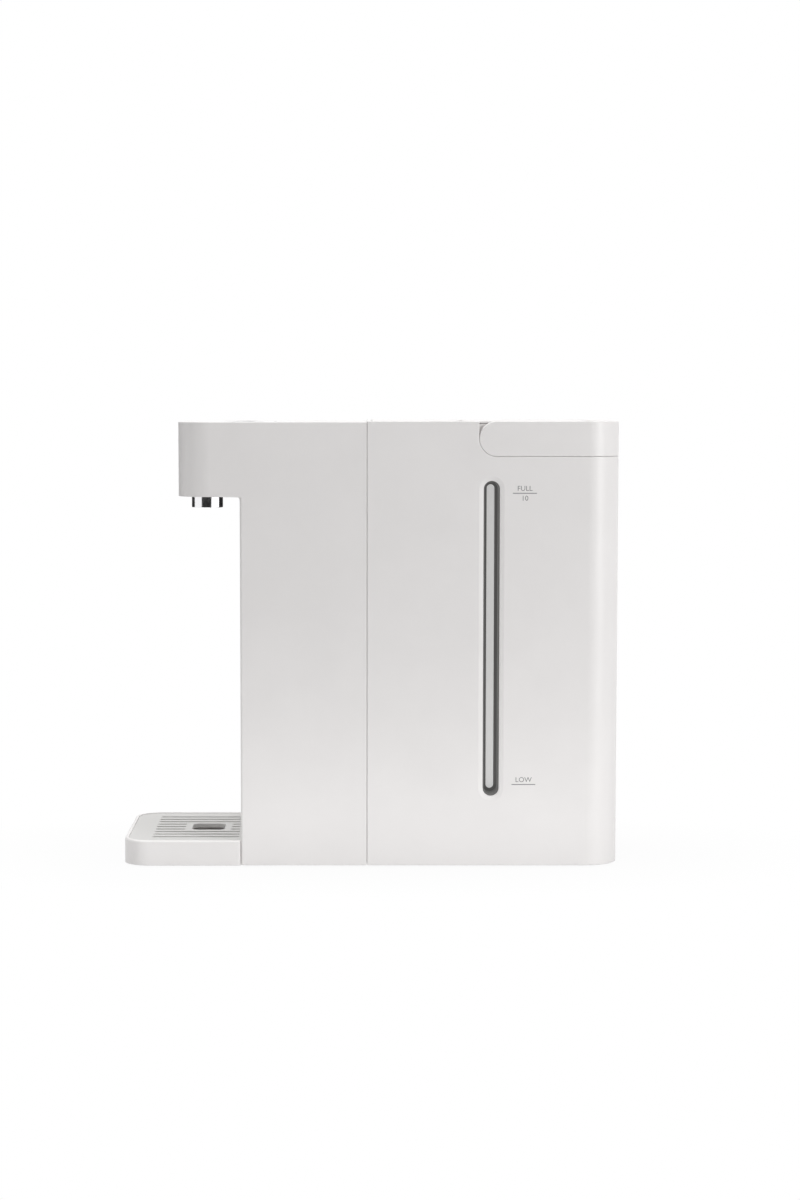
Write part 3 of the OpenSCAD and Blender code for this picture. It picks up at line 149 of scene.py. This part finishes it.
paper_fade.inputs["To Max"].default_value = 1.0
paper_mix = paper_nodes.new("ShaderNodeMixShader")
paper_links.new(paper_path.outputs["Is Camera Ray"], paper_seen.inputs[0])
paper_links.new(paper_path.outputs["Is Glossy Ray"], paper_seen.inputs[1])
paper_links.new(paper_place.outputs["Object"], paper_oval.inputs[0])
paper_links.new(paper_oval.outputs["Vector"], paper_reach.inputs[0])
paper_links.new(paper_reach.outputs["Value"], paper_fade.inputs["Value"])
paper_links.new(paper_seen.outputs["Value"], paper_share.inputs[0])
paper_links.new(paper_fade.outputs["Result"], paper_share.inputs[1])
paper_links.new(paper_share.outputs["Value"], paper_mix.inputs["Fac"])
paper_links.new(paper_shader.outputs["BSDF"], paper_mix.inputs[1])
paper_links.new(paper_white.outputs["Emission"], paper_mix.inputs[2])
paper_links.new(paper_mix.outputs["Shader"], paper_nodes["Material Output"].inputs["Surface"])
floor.data.materials.append(paper)

# Cards stand outside the picture for the polished metal alone: black ones before the set, behind
# its front and on the column, and a white one beside it, which it mirrors as dark and light bands.
# Each acts on the side that it faces and is clear from behind.
black_card = bpy.data.materials.new("black_card")
black_card.use_nodes = True
black_shader = black_card.node_tree.nodes["Principled BSDF"]
black_shader.inputs["Base Color"].default_value = (0.02, 0.02, 0.02, 1)
black_shader.inputs["Roughness"].default_value = 0.9
white_card = bpy.data.materials.new("white_card")
white_card.use_nodes = True
white_shader = white_card.node_tree.nodes["Principled BSDF"]
white_shader.inputs["Emission Color"].default_value = (1, 1, 1, 1)
white_shader.inputs["Emission Strength"].default_value = 1
for card_paper in (black_card, white_card):
    card_nodes = card_paper.node_tree.nodes
    card_links = card_paper.node_tree.links
    card_side = card_nodes.new("ShaderNodeNewGeometry")
    card_clear = card_nodes.new("ShaderNodeBsdfTransparent")
    card_mix = card_nodes.new("ShaderNodeMixShader")
    card_links.new(card_side.outputs["Backfacing"], card_mix.inputs["Fac"])
    card_links.new(card_nodes["Principled BSDF"].outputs["BSDF"], card_mix.inputs[1])
    card_links.new(card_clear.outputs["BSDF"], card_mix.inputs[2])
    card_links.new(card_mix.outputs["Shader"], card_nodes["Material Output"].inputs["Surface"])
upright = math.radians(90)
for card_name, place, turn, width, height, card_paper in (
    ("front_card", (-0.148, -0.56, 0.2), 180, 0.815, 0.3, black_card),
    ("rear_card", (-0.397, 0.263, 0.2), 62, 0.402, 0.3, black_card),
    ("column_black_card", (-0.0805, 0.0268, 0.2), -90, 0.0625, 0.05, black_card),
    ("column_white_card", (-0.0805, -0.0203, 0.2), -90, 0.0315, 0.05, white_card),
    ("column_edge_card", (-0.0805, -0.0456, 0.2), -90, 0.0175, 0.05, black_card),
):
    bpy.ops.object.select_all(action="DESELECT")
    facing = (upright, 0, math.radians(turn))
    bpy.ops.mesh.primitive_plane_add(size=1, location=place, rotation=facing)
    card = bpy.context.object
    card.name = card_name
    card.scale = (width, height, 1)
    card.data.materials.append(card_paper)
    card.visible_camera = False
    card.visible_diffuse = False
    card.visible_transmission = False
    card.visible_shadow = False


# The base plate with its hollow tongue carries the whole machine, and a flat cover closes the
# tongue from below. Both are plain white ABS as it leaves the tool, with a matt grain.
def new_finish(name):
    """A new material, and the coordinates that lie still on the piece."""
    finish = bpy.data.materials.new(name)
    finish.use_nodes = True
    place = finish.node_tree.nodes.new("ShaderNodeTexCoord")
    return finish, place.outputs["Object"]


def noise_on(finish, place, scale, detail=2):
    """A noise pattern laid by these coordinates."""
    pattern = finish.node_tree.nodes.new("ShaderNodeTexNoise")
    pattern.inputs["Scale"].default_value = scale
    pattern.inputs["Detail"].default_value = detail
    finish.node_tree.links.new(place, pattern.inputs["Vector"])
    return pattern.outputs["Fac"]


def scaled(colour, share):
    return tuple(c * share for c in colour)


def tone_by(finish, pattern, first, last, start=0, end=1):
    """The colour goes from first to last as the pattern goes from start to end."""
    nodes = finish.node_tree.nodes
    links = finish.node_tree.links
    tone = nodes.new("ShaderNodeValToRGB")
    tone.color_ramp.elements[0].position = start
    tone.color_ramp.elements[0].color = (*first, 1)
    tone.color_ramp.elements[1].position = end
    tone.color_ramp.elements[1].color = (*last, 1)
    links.new(pattern, tone.inputs["Fac"])
    links.new(tone.outputs["Color"], nodes["Principled BSDF"].inputs["Base Color"])


def gloss_by(finish, pattern, least, most):
    """The roughness goes from least to most with the pattern."""
    nodes = finish.node_tree.nodes
    links = finish.node_tree.links
    gloss = nodes.new("ShaderNodeMapRange")
    gloss.inputs["To Min"].default_value = least
    gloss.inputs["To Max"].default_value = most
    links.new(pattern, gloss.inputs["Value"])
    links.new(gloss.outputs["Result"], nodes["Principled BSDF"].inputs["Roughness"])


def relief_by(finish, pattern, strength, height):
    """The pattern stands up from the surface."""
    nodes = finish.node_tree.nodes
    links = finish.node_tree.links
    bump = nodes.new("ShaderNodeBump")
    bump.inputs["Strength"].default_value = strength
    bump.inputs["Distance"].default_value = height
    links.new(pattern, bump.inputs["Height"])
    links.new(bump.outputs["Normal"], nodes["Principled BSDF"].inputs["Normal"])


def moulded(name, colour, roughness, grain, grain_scale=2400):
    """Plastic from a mould: an even colour with faint clouding, and the tool's grain as bump."""
    finish, place = new_finish(name)
    cloud = noise_on(finish, place, scale=28, detail=3)
    texture = noise_on(finish, place, scale=grain_scale)
    tone_by(finish, cloud, scaled(colour, 0.975), colour, start=0.3, end=0.7)
    gloss_by(finish, texture, least=roughness - 0.05, most=roughness + 0.05)
    relief_by(finish, texture, strength=grain, height=0.0002)
    return finish


def dress(node, finish):
    """A CAD piece keeps its mesh and takes this finish."""
    for place in frame["nodes"][node].material_slots:
        place.material = finish


def softened(node, body, radius, finish, on_rim=None, rim_radius=0):
    """A copy of a moulded node with its sharp edges rounded, which stands in the node's place.
    An edge with both ends on the rim gets a radius of its own first. The facets of a curve meet
    at small angles and stay as they are, and no rounding leaves the node's box."""
    bpy.ops.object.select_all(action="DESELECT")
    source = frame["nodes"][node]
    source.select_set(True)
    bpy.context.view_layer.objects.active = source
    bpy.ops.object.duplicate()
    piece = bpy.context.object
    bpy.ops.object.parent_clear(type="CLEAR_KEEP_TRANSFORM")
    piece.name = node + "_moulding"
    del piece["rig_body"]
    del piece["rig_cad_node"]
    bpy.ops.mesh.customdata_custom_splitnormals_clear()
    bpy.ops.object.mode_set(mode="EDIT")
    bpy.ops.mesh.select_all(action="SELECT")
    bpy.ops.mesh.remove_doubles(threshold=0.000002)
    bpy.ops.mesh.dissolve_limited(angle_limit=math.radians(0.4))
    bpy.ops.mesh.select_all(action="DESELECT")
    bpy.ops.mesh.select_mode(type="EDGE")
    bpy.ops.object.mode_set(mode="OBJECT")
    if on_rim:
        for edge in piece.data.edges:
            edge.select = all(on_rim(piece.data.vertices[i].co) for i in edge.vertices)
        bpy.ops.object.mode_set(mode="EDIT")
        bpy.ops.mesh.bevel(offset=rim_radius, segments=5, affect="EDGES")
        bpy.ops.object.mode_set(mode="OBJECT")
    bpy.ops.object.modifier_add(type="BEVEL")
    rounding = piece.modifiers[-1]
    rounding.width = radius
    rounding.segments = 3
    rounding.limit_method = "ANGLE"
    rounding.angle_limit = math.radians(22)
    rounding.use_clamp_overlap = False
    bpy.ops.object.modifier_apply(modifier=rounding.name)
    low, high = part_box(node)
    for vertex in piece.data.vertices:
        vertex.co = [min(max(c, a), b) for c, a, b in zip(vertex.co, low, high)]
    bpy.ops.object.shade_smooth_by_angle(angle=math.radians(32))
    bpy.ops.object.modifier_add(type="WEIGHTED_NORMAL")
    evened = piece.modifiers[-1]
    evened.keep_sharp = True
    bpy.ops.object.modifier_apply(modifier=evened.name)
    piece.data.materials.clear()
    piece.data.materials.append(finish)
    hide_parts(node)
    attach(piece, body)
    return piece


inner_white = moulded(
    "matt_white_abs", (0.731, 0.715, 0.704), roughness=0.55, grain=0.12, grain_scale=1500
)
softened("base", "main", radius=0.0005, finish=inner_white)
dress("base_cover", inner_white)


# Four feet of black rubber are pressed into the underside. They are cast, with a matt skin that
# holds a little dust.
def rubber(name, colour, roughness=0.8):
    """Cast rubber: a dark matt skin, paler where dust lies in its grain."""
    finish, place = new_finish(name)
    shader = finish.node_tree.nodes["Principled BSDF"]
    shader.inputs["Roughness"].default_value = roughness
    shader.inputs["Specular IOR Level"].default_value = 0.35
    skin = noise_on(finish, place, scale=900, detail=4)
    tone_by(finish, skin, colour, scaled(colour, 1.35), start=0.35, end=0.75)
    relief_by(finish, skin, strength=0.2, height=0.0003)
    return finish


dress("feet", rubber("foot_rubber", (0.055, 0.055, 0.057)))


# Cross-headed screws hold the base, the back panel and the boards. They are zinc-plated steel,
# rolled and plated in bulk, so their sheen is patchy.
def mapped(finish, place, scale=(1, 1, 1), rotation=(0, 0, 0)):
    """The same coordinates, stretched or turned for a pattern that has a direction."""
    mapping = finish.node_tree.nodes.new("ShaderNodeMapping")
    mapping.inputs["Scale"].default_value = scale
    mapping.inputs["Rotation"].default_value = rotation
    finish.node_tree.links.new(place, mapping.inputs["Vector"])
    return mapping.outputs["Vector"]


def plain_metal(name, colour, roughness, stretch=(1, 1, 1), scratch=0.08):
    """Bare or plated metal: fine drawing marks along one axis and a patchy sheen."""
    finish, place = new_finish(name)
    finish.node_tree.nodes["Principled BSDF"].inputs["Metallic"].default_value = 1
    marks = noise_on(finish, mapped(finish, place, scale=stretch), scale=1300, detail=5)
    patches = noise_on(finish, place, scale=140)
    tone_by(finish, patches, scaled(colour, 0.9), colour, start=0.3, end=0.7)
    gloss_by(finish, patches, least=max(0.02, roughness - 0.1), most=roughness + 0.1)
    relief_by(finish, marks, strength=scratch, height=0.0001)
    return finish


screw_zinc = plain_metal("zinc_plated_steel", (0.60, 0.61, 0.62), roughness=0.32)
dress("base_screws", screw_zinc)
dress("panel_screws", screw_zinc)
dress("board_screws", screw_zinc)

# The gland is a grey rubber bush snapped into the tongue's back wall, where the mains lead enters.
# It is softer and a little paler than the feet.
dress("cord_gland", rubber("gland_rubber", (0.11, 0.11, 0.112), roughness=0.7))

# The pump is a small centrifugal one: two black glass-filled nylon halves round an acetal
# impeller, driven by a canned motor that lies in a rubber saddle.
pump_black = moulded(
    "black_nylon", (0.028, 0.028, 0.030), roughness=0.48, grain=0.22, grain_scale=1100
)
dress("pump_cover", pump_black)
dress("pump_housing", pump_black)
impeller_acetal = moulded(
    "acetal", (0.74, 0.73, 0.68), roughness=0.38, grain=0.05, grain_scale=1800
)
dress("impeller", impeller_acetal)
motor_steel = plain_metal(
    "motor_can", (0.56, 0.56, 0.55), roughness=0.3, stretch=(0.05, 1, 1), scratch=0.15
)
dress("pump_motor", motor_steel)
rotor_steel = plain_metal(
    "turned_steel", (0.50, 0.50, 0.51), roughness=0.25, stretch=(1, 0.1, 0.1), scratch=0.2
)
dress("motor_rotor", rotor_steel)
dress("pump_cradle", rubber("saddle_rubber", (0.075, 0.075, 0.078)))

# The heater is a stainless tube with its heating film inside, closed by two heat-proof caps and
# held to the back panel by two clamps. Cut-outs and a brass sensor watch its heat.
heater_steel = plain_metal(
    "drawn_stainless", (0.66, 0.65, 0.63), roughness=0.28, stretch=(1, 1, 0.03), scratch=0.25
)
dress("heater_tube", heater_steel)
heat_proof_black = moulded(
    "black_pps", (0.034, 0.033, 0.032), roughness=0.42, grain=0.18, grain_scale=1300
)
dress("heater_lower_cap", heat_proof_black)
dress("heater_upper_cap", heat_proof_black)
dress("heater_clamps", heat_proof_black)
dress("thermal_cutouts", plain_metal("cutout_can", (0.70, 0.70, 0.70), roughness=0.22))
sensor_brass = plain_metal(
    "turned_brass", (0.70, 0.52, 0.24), roughness=0.26, stretch=(1, 1, 0.1), scratch=0.15
)
dress("temperature_sensor", sensor_brass)


# Hoses, seals and the nozzle's mouthpiece are cast from food-grade silicone, milky and a little
# translucent, with a satin skin that draws a haze of dust.
def silicone(name, colour, roughness=0.42):
    """Cast silicone: milky and slightly translucent under a satin skin."""
    finish, place = new_finish(name)
    shader = finish.node_tree.nodes["Principled BSDF"]
    shader.inputs["Subsurface Weight"].default_value = 0.35
    shader.inputs["Subsurface Radius"].default_value = (0.0020, 0.0017, 0.0014)
    shader.inputs["Subsurface Scale"].default_value = 1
    haze = noise_on(finish, place, scale=220, detail=3)
    tone_by(finish, haze, scaled(colour, 0.93), colour)
    gloss_by(finish, haze, least=roughness - 0.08, most=roughness + 0.08)
    relief_by(finish, haze, strength=0.06, height=0.0002)
    return finish


hose_silicone = silicone("hose_silicone", (0.70, 0.70, 0.67))
for hose in ("inlet_hose", "pump_hose", "outlet_hose"):
    dress(hose, hose_silicone)
chamber_plastic = moulded(
    "polypropylene", (0.68, 0.68, 0.66), roughness=0.4, grain=0.05, grain_scale=1700
)
dress("outlet_chamber", chamber_plastic)


# The power board and the touch board are glass-epoxy laminate under green resist, with copper
# tracks that show as lighter lanes. The bracket is white ABS, the parts on the board are black.
def laminate(name, resist, track):
    """Circuit board: green resist over lanes of copper, with a grain of woven glass."""
    finish, place = new_finish(name)
    shader = finish.node_tree.nodes["Principled BSDF"]
    shader.inputs["Coat Weight"].default_value = 0.5
    shader.inputs["Coat Roughness"].default_value = 0.15
    turned = mapped(finish, place, rotation=(math.radians(45), 0, math.radians(45)))
    lanes = finish.node_tree.nodes.new("ShaderNodeTexBrick")
    lanes.inputs["Scale"].default_value = 160
    lanes.inputs["Mortar Size"].default_value = 0.06
    lanes.inputs["Color1"].default_value = (*resist, 1)
    lanes.inputs["Color2"].default_value = (*scaled(resist, 0.8), 1)
    lanes.inputs["Mortar"].default_value = (*track, 1)
    finish.node_tree.links.new(turned, lanes.inputs["Vector"])
    finish.node_tree.links.new(lanes.outputs["Color"], shader.inputs["Base Color"])
    gloss_by(finish, noise_on(finish, place, scale=1200), least=0.25, most=0.45)
    relief_by(finish, lanes.outputs["Fac"], strength=0.15, height=0.0001)
    return finish


board_green = laminate("board_laminate", (0.012, 0.10, 0.045), (0.05, 0.22, 0.09))
dress("power_board", board_green)
dress("control_board", board_green)
part_cases = moulded("part_cases", (0.03, 0.031, 0.034), roughness=0.4, grain=0.1, grain_scale=1500)
dress("board_parts", part_cases)
dress("board_bracket", inner_white)

# The front shell is the white moulding of column and overhanging head, one piece of ABS from a
# fine-textured tool. Its edges are broken by a small radius, which catches the light.
shell_white = moulded("satin_white_abs", (0.812, 0.794, 0.787), roughness=0.37, grain=0.06)
softened("front_shell", "main", radius=0.0003, finish=shell_white)

# The back panel closes the column towards the tank. It is a flat ABS plate with six screws, and
# the black socket below it takes the tank's valve on an O-ring.
softened("back_panel", "main", radius=0.0003, finish=inner_white)
socket_black = moulded(
    "black_abs", (0.032, 0.032, 0.034), roughness=0.45, grain=0.15, grain_scale=1400
)
softened("tank_socket", "main", radius=0.0003, finish=socket_black)
dress("socket_seal", rubber("o_ring_rubber", (0.03, 0.03, 0.031), roughness=0.55))


# The nozzle is a brass turning with a bright chrome plate, pushed up through the head's underside,
# and its mouthpiece is a grey silicone ring.
def chromed(name, colour):
    """Bright chrome plate: a mirror with the faintest haze from wiping."""
    finish, place = new_finish(name)
    shader = finish.node_tree.nodes["Principled BSDF"]
    shader.inputs["Base Color"].default_value = (*colour, 1)
    shader.inputs["Metallic"].default_value = 1
    haze = noise_on(finish, mapped(finish, place, scale=(1, 1, 0.2)), scale=350, detail=4)
    gloss_by(finish, haze, least=0.09, most=0.17)
    return finish


nozzle_chrome = chromed("bright_chrome", (0.90, 0.90, 0.91))
softened("nozzle", "main", radius=0.0003, finish=nozzle_chrome)
dress("nozzle_insert", silicone("mouthpiece_silicone", (0.16, 0.16, 0.165), roughness=0.5))

# The touch panel is a clear-coated white acrylic plate let flush into the head. Its keys are thin
# grey rings and signs, screen-printed on the face, with nothing that moves.
panel_low, panel_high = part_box("control_panel")
panel_gloss = moulded("gloss_white_acrylic", (0.84, 0.84, 0.84), roughness=0.12, grain=0.01)
panel_shader = panel_gloss.node_tree.nodes["Principled BSDF"]
panel_shader.inputs["Coat Weight"].default_value = 0.6
panel_shader.inputs["Coat Roughness"].default_value = 0.04
softened("control_panel", "main", radius=0.00025, finish=panel_gloss)
key_ink = moulded(
    "pale_screen_ink", (0.42, 0.42, 0.425), roughness=0.6, grain=0.2, grain_scale=5000
)
ink_t = 0.00002
key_x = (panel_low.x + panel_high.x) / 2
key_z = panel_high.z + ink_t / 2
key_line = 0.0006
large_key_r = 0.0125
small_key_r = 0.0065
small_key_y = 0.0225
sign_len = 0.006
heat_steps = 4
step_x = key_x + 0.019
step_pitch = 0.009
step_size = (0.0009, 0.0055)


def printed(piece, name, body, ink):
    """A flat print gets the thickness of its ink, its place in its mesh, and rides with a body."""
    piece.name = name
    bpy.ops.object.transform_apply(location=True, rotation=True, scale=True)
    bpy.ops.object.modifier_add(type="SOLIDIFY")
    film = piece.modifiers[-1]
    film.thickness = ink_t
    film.offset = 0
    bpy.ops.object.modifier_apply(modifier=film.name)
    piece.data.materials.clear()
    piece.data.materials.append(ink)
    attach(piece, body)


def key_ring(name, y, radius):
    bpy.ops.object.select_all(action="DESELECT")
    bpy.ops.mesh.primitive_circle_add(
        vertices=72, radius=radius, fill_type="NGON", location=(key_x, y, key_z)
    )
    ring = bpy.context.object
    bpy.ops.object.mode_set(mode="EDIT")
    bpy.ops.mesh.select_all(action="SELECT")
    bpy.ops.mesh.inset(thickness=key_line)
    bpy.ops.mesh.delete(type="FACE")
    bpy.ops.object.mode_set(mode="OBJECT")
    printed(ring, name, "main", key_ink)


def flat_bar(place, turn, size, corner_share, segments):
    """A short flat bar whose corners are rounded by this share of its width."""
    bpy.ops.object.select_all(action="DESELECT")
    bpy.ops.mesh.primitive_plane_add(size=1, location=place, rotation=turn)
    bar = bpy.context.object
    bar.scale = (*size, 1)
    bpy.ops.object.transform_apply(location=False, rotation=False, scale=True)
    bpy.ops.object.mode_set(mode="EDIT")
    bpy.ops.mesh.select_all(action="SELECT")
    bpy.ops.mesh.bevel(offset=min(size) * corner_share, segments=segments, affect="VERTICES")
    bpy.ops.object.mode_set(mode="OBJECT")
    return bar


def key_bar(name, x, y, size):
    bar = flat_bar((x, y, key_z), (0, 0, 0), size, corner_share=0.45, segments=5)
    printed(bar, name, "main", key_ink)


key_ring("dispense_ring", 0, large_key_r)
for side, sign_name in ((-1, "less"), (1, "more")):
    key_ring(sign_name + "_ring", side * small_key_y, small_key_r)
    key_bar(sign_name + "_bar", key_x, side * small_key_y, (key_line, sign_len))
key_bar("more_post", key_x, small_key_y, (sign_len, key_line))
for step in range(heat_steps):
    step_y = (step - (heat_steps - 1) / 2) * step_pitch
    key_bar(f"heat_step_{step + 1}", step_x, step_y, step_size)

# The drop in the middle of the large key: a disc whose back is drawn out to a point.
drop_r = 0.0032
drop_x = key_x - 0.001
point_len = 0.0042
point_reach = 0.0045
bpy.ops.object.select_all(action="DESELECT")
bpy.ops.mesh.primitive_circle_add(
    vertices=48, radius=drop_r, fill_type="NGON", location=(drop_x, 0, key_z)
)
drop = bpy.context.object
tip = max(drop.data.vertices, key=lambda v: v.co.x)
for vertex in drop.data.vertices:
    vertex.select = vertex is tip
bpy.ops.object.mode_set(mode="EDIT")
bpy.ops.mesh.select_mode(type="VERT")
bpy.ops.transform.translate(
    value=(point_len, 0, 0),
    use_proportional_edit=True,
    proportional_edit_falloff="SHARP",
    proportional_size=point_reach,
)
bpy.ops.object.mode_set(mode="OBJECT")
printed(drop, "dispense_drop", "main", key_ink)

# The tank is a deep white box moulded in one piece, open on top and with a skirt that stands over
# the base tongue. Its back corners are turned at a large radius, its front stands so close to the
# column that the seam is a hairline, and the lip round its window slopes gently.
tank_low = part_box("tank_shell")[0]
window_low, window_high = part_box("window_frame")
tank_edge = 0.0004
edge_reach = tank_edge + 0.00001
front_fill = 0.00048
lip_share = 0.6
lip_end = window_low.y - tank_low.y + edge_reach
tank_moulding = softened(
    "tank_shell", "tank", radius=tank_edge, finish=shell_white
)
for vertex in tank_moulding.data.vertices:
    if vertex.co.x < tank_low.x + edge_reach:
        vertex.co.x -= front_fill
    depth = vertex.co.y - tank_low.y
    in_width = window_low.x < vertex.co.x < window_high.x
    in_height = window_low.z < vertex.co.z < window_high.z
    if in_width and in_height and depth < lip_end:
        vertex.co.y = tank_low.y + lip_share * depth

# The level window is a channel of smoked plastic set into the tank's side. At its bottom lies a
# milky strip. Both carry a painted glow, an emission that lightens the shade in the channel and
# makes the strip bright, though nothing lights them from within.
frame_with_painted_glow = moulded("smoked_grey_abs_painted_glow", (0.070, 0.0695, 0.068), roughness=0.42, grain=0.08)
frame_shader = frame_with_painted_glow.node_tree.nodes["Principled BSDF"]
# Painted glow: the frame emits a little light, which lifts the shade in its channel.
frame_shader.inputs["Emission Color"].default_value = (1, 0.985, 0.96, 1)
frame_shader.inputs["Emission Strength"].default_value = 0.055
softened("window_frame", "tank", radius=0.0002, finish=frame_with_painted_glow)
lens_with_painted_glow = moulded("milky_lens_painted_glow", (0.70, 0.70, 0.695), roughness=0.22, grain=0.02, grain_scale=900)
lens_shader = lens_with_painted_glow.node_tree.nodes["Principled BSDF"]
# Painted glow: the strip emits light, so that it reads bright at the bottom of the shaded channel.
lens_shader.inputs["Emission Color"].default_value = (1, 0.995, 0.985, 1)
lens_shader.inputs["Emission Strength"].default_value = 0.42
lens_shader.inputs["Subsurface Weight"].default_value = 0.4
lens_shader.inputs["Subsurface Radius"].default_value = (0.003, 0.003, 0.003)
lens_shader.inputs["Subsurface Scale"].default_value = 1
lens_shader.inputs["Coat Weight"].default_value = 0.4
lens_shader.inputs["Coat Roughness"].default_value = 0.05
softened("window_lens", "tank", radius=0.0004, finish=lens_with_painted_glow)

# The level marks are printed beside the window in grey ink: a short line for the highest and the
# lowest water, each with its plain word, and the highest with its number of cups.
level_ink = moulded(
    "grey_screen_ink", (0.22, 0.22, 0.222), roughness=0.6, grain=0.2, grain_scale=5000
)
mark_y = tank_low.y - ink_t / 2
mark_x = 0.0929
mark_len = 0.0145
mark_line = 0.0005
full_z = 0.2278
low_z = 0.0508
word_up = 0.0015
cups_down = 0.0044
letter_h = 0.0030
capital_share = 0.7


def level_line(name, z):
    size = (mark_len, mark_line)
    line = flat_bar((mark_x, mark_y, z), (upright, 0, 0), size, corner_share=0.4, segments=3)
    printed(line, name, "tank", level_ink)


def level_word(name, word, z):
    bpy.ops.object.select_all(action="DESELECT")
    bpy.ops.object.text_add(location=(mark_x, mark_y, z), rotation=(upright, 0, 0))
    lettering = bpy.context.object
    lettering.data.body = word
    lettering.data.size = letter_h / capital_share
    lettering.data.align_x = "CENTER"
    lettering.data.resolution_u = 4
    bpy.ops.object.convert(target="MESH")
    printed(bpy.context.object, name, "tank", level_ink)


level_line("full_line", full_z)
level_word("full_word", "FULL", full_z + word_up)
level_word("full_cups", "10", full_z - cups_down)
level_line("low_line", low_z)
level_word("low_word", "LOW", low_z + word_up)

# The tank's top is a second moulding welded into the box: deck, filling neck and the seats of
# handle and lid. Two stub pins carry the handle, one steel pin the lid.
softened("tank_top", "tank", radius=0.0005, finish=shell_white)
dress("handle_pins", inner_white)
pin_steel = plain_metal(
    "lid_pin_steel", (0.62, 0.62, 0.62), roughness=0.24, stretch=(1, 0.08, 1), scratch=0.1
)
dress("lid_pin", pin_steel)

# The foot valve in the tank's floor is a white body with its nut and washer, and a black poppet
# that a stainless spring closes as soon as the tank is lifted.
dress("valve_body", inner_white)
dress("valve_nut", inner_white)
dress("valve_washer", silicone("washer_silicone", (0.66, 0.66, 0.63)))
spring_steel = plain_metal("spring_wire", (0.64, 0.64, 0.63), roughness=0.2, scratch=0.05)
dress("valve_spring", spring_steel)
dress("valve_poppet", pump_black)
dress("poppet_seal", silicone("poppet_silicone", (0.55, 0.56, 0.55)))

# The carrying handle is a white bow whose round ends turn on the stub pins. At rest it lies in the
# tank's recess, flush on three sides, and fits it so closely that the line round it is fine.
handle_moulding = softened(
    "carry_handle", "handle", radius=0.0005, finish=shell_white
)
handle_low, handle_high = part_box("carry_handle")
end_radius = (handle_high.z - handle_low.z) / 2
pivot_x = handle_low.x + end_radius
pivot_z = handle_low.z + end_radius
under_fill = 0.00027
edge_depth = 0.0006
for vertex in handle_moulding.data.vertices:
    ahead = max(pivot_x - vertex.co.x, 0)
    below = pivot_z - vertex.co.z
    reach = math.hypot(ahead, below)
    if reach > end_radius - edge_depth:
        vertex.co.x -= under_fill * ahead / reach
        vertex.co.z -= under_fill * max(below, 0) / reach

# The lid closes the filling mouth inside the bow. A grey silicone lip round its plug keeps
# splashes in.
softened("tank_lid", "lid", radius=0.0004, finish=shell_white)
dress("lid_gasket", silicone("gasket_silicone", (0.50, 0.50, 0.50)))

# The drip tray hooks into the column and lies flat on the table. Its rim is rounded over, and
# the slotted grille drops in just below it, so closely that the gap round it hardly shows.
tray_low, tray_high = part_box("drip_tray")
tray_corner = 0.016
rim_round = 0.0012
level_slack = 0.0001
outline_slack = 0.0005


def past_corners(point):
    """How far a point lies past the centres of the tray's front corners, forwards and sideways."""
    past_front = max(tray_low.x + tray_corner - point.x, 0)
    past_side = max(abs(point.y) - (tray_high.y - tray_corner), 0)
    return past_front, past_side


def on_tray_rim(point):
    on_outline = math.hypot(*past_corners(point)) > tray_corner - outline_slack
    return on_outline and point.z > tray_high.z - level_slack


softened(
    "drip_tray", "tray", radius=0.0002, finish=shell_white,
    on_rim=on_tray_rim, rim_radius=rim_round,
)
grille_white = moulded(
    "matt_grey_white_abs", (0.624, 0.617, 0.605), roughness=0.5, grain=0.1, grain_scale=1900
)
grille_moulding = softened(
    "drip_grille", "grille", radius=0.00015, finish=grille_white
)
grille_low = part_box("drip_grille")[0]
grille_corner = tray_corner - (grille_low.x - tray_low.x)
rim_fill = 0.00024
rim_depth = 0.0002
for vertex in grille_moulding.data.vertices:
    past_front, past_side = past_corners(vertex.co)
    reach = math.hypot(past_front, past_side)
    if reach > grille_corner - rim_depth:
        vertex.co.x -= rim_fill * past_front / reach
        vertex.co.y += math.copysign(rim_fill * past_side / reach, vertex.co.y)
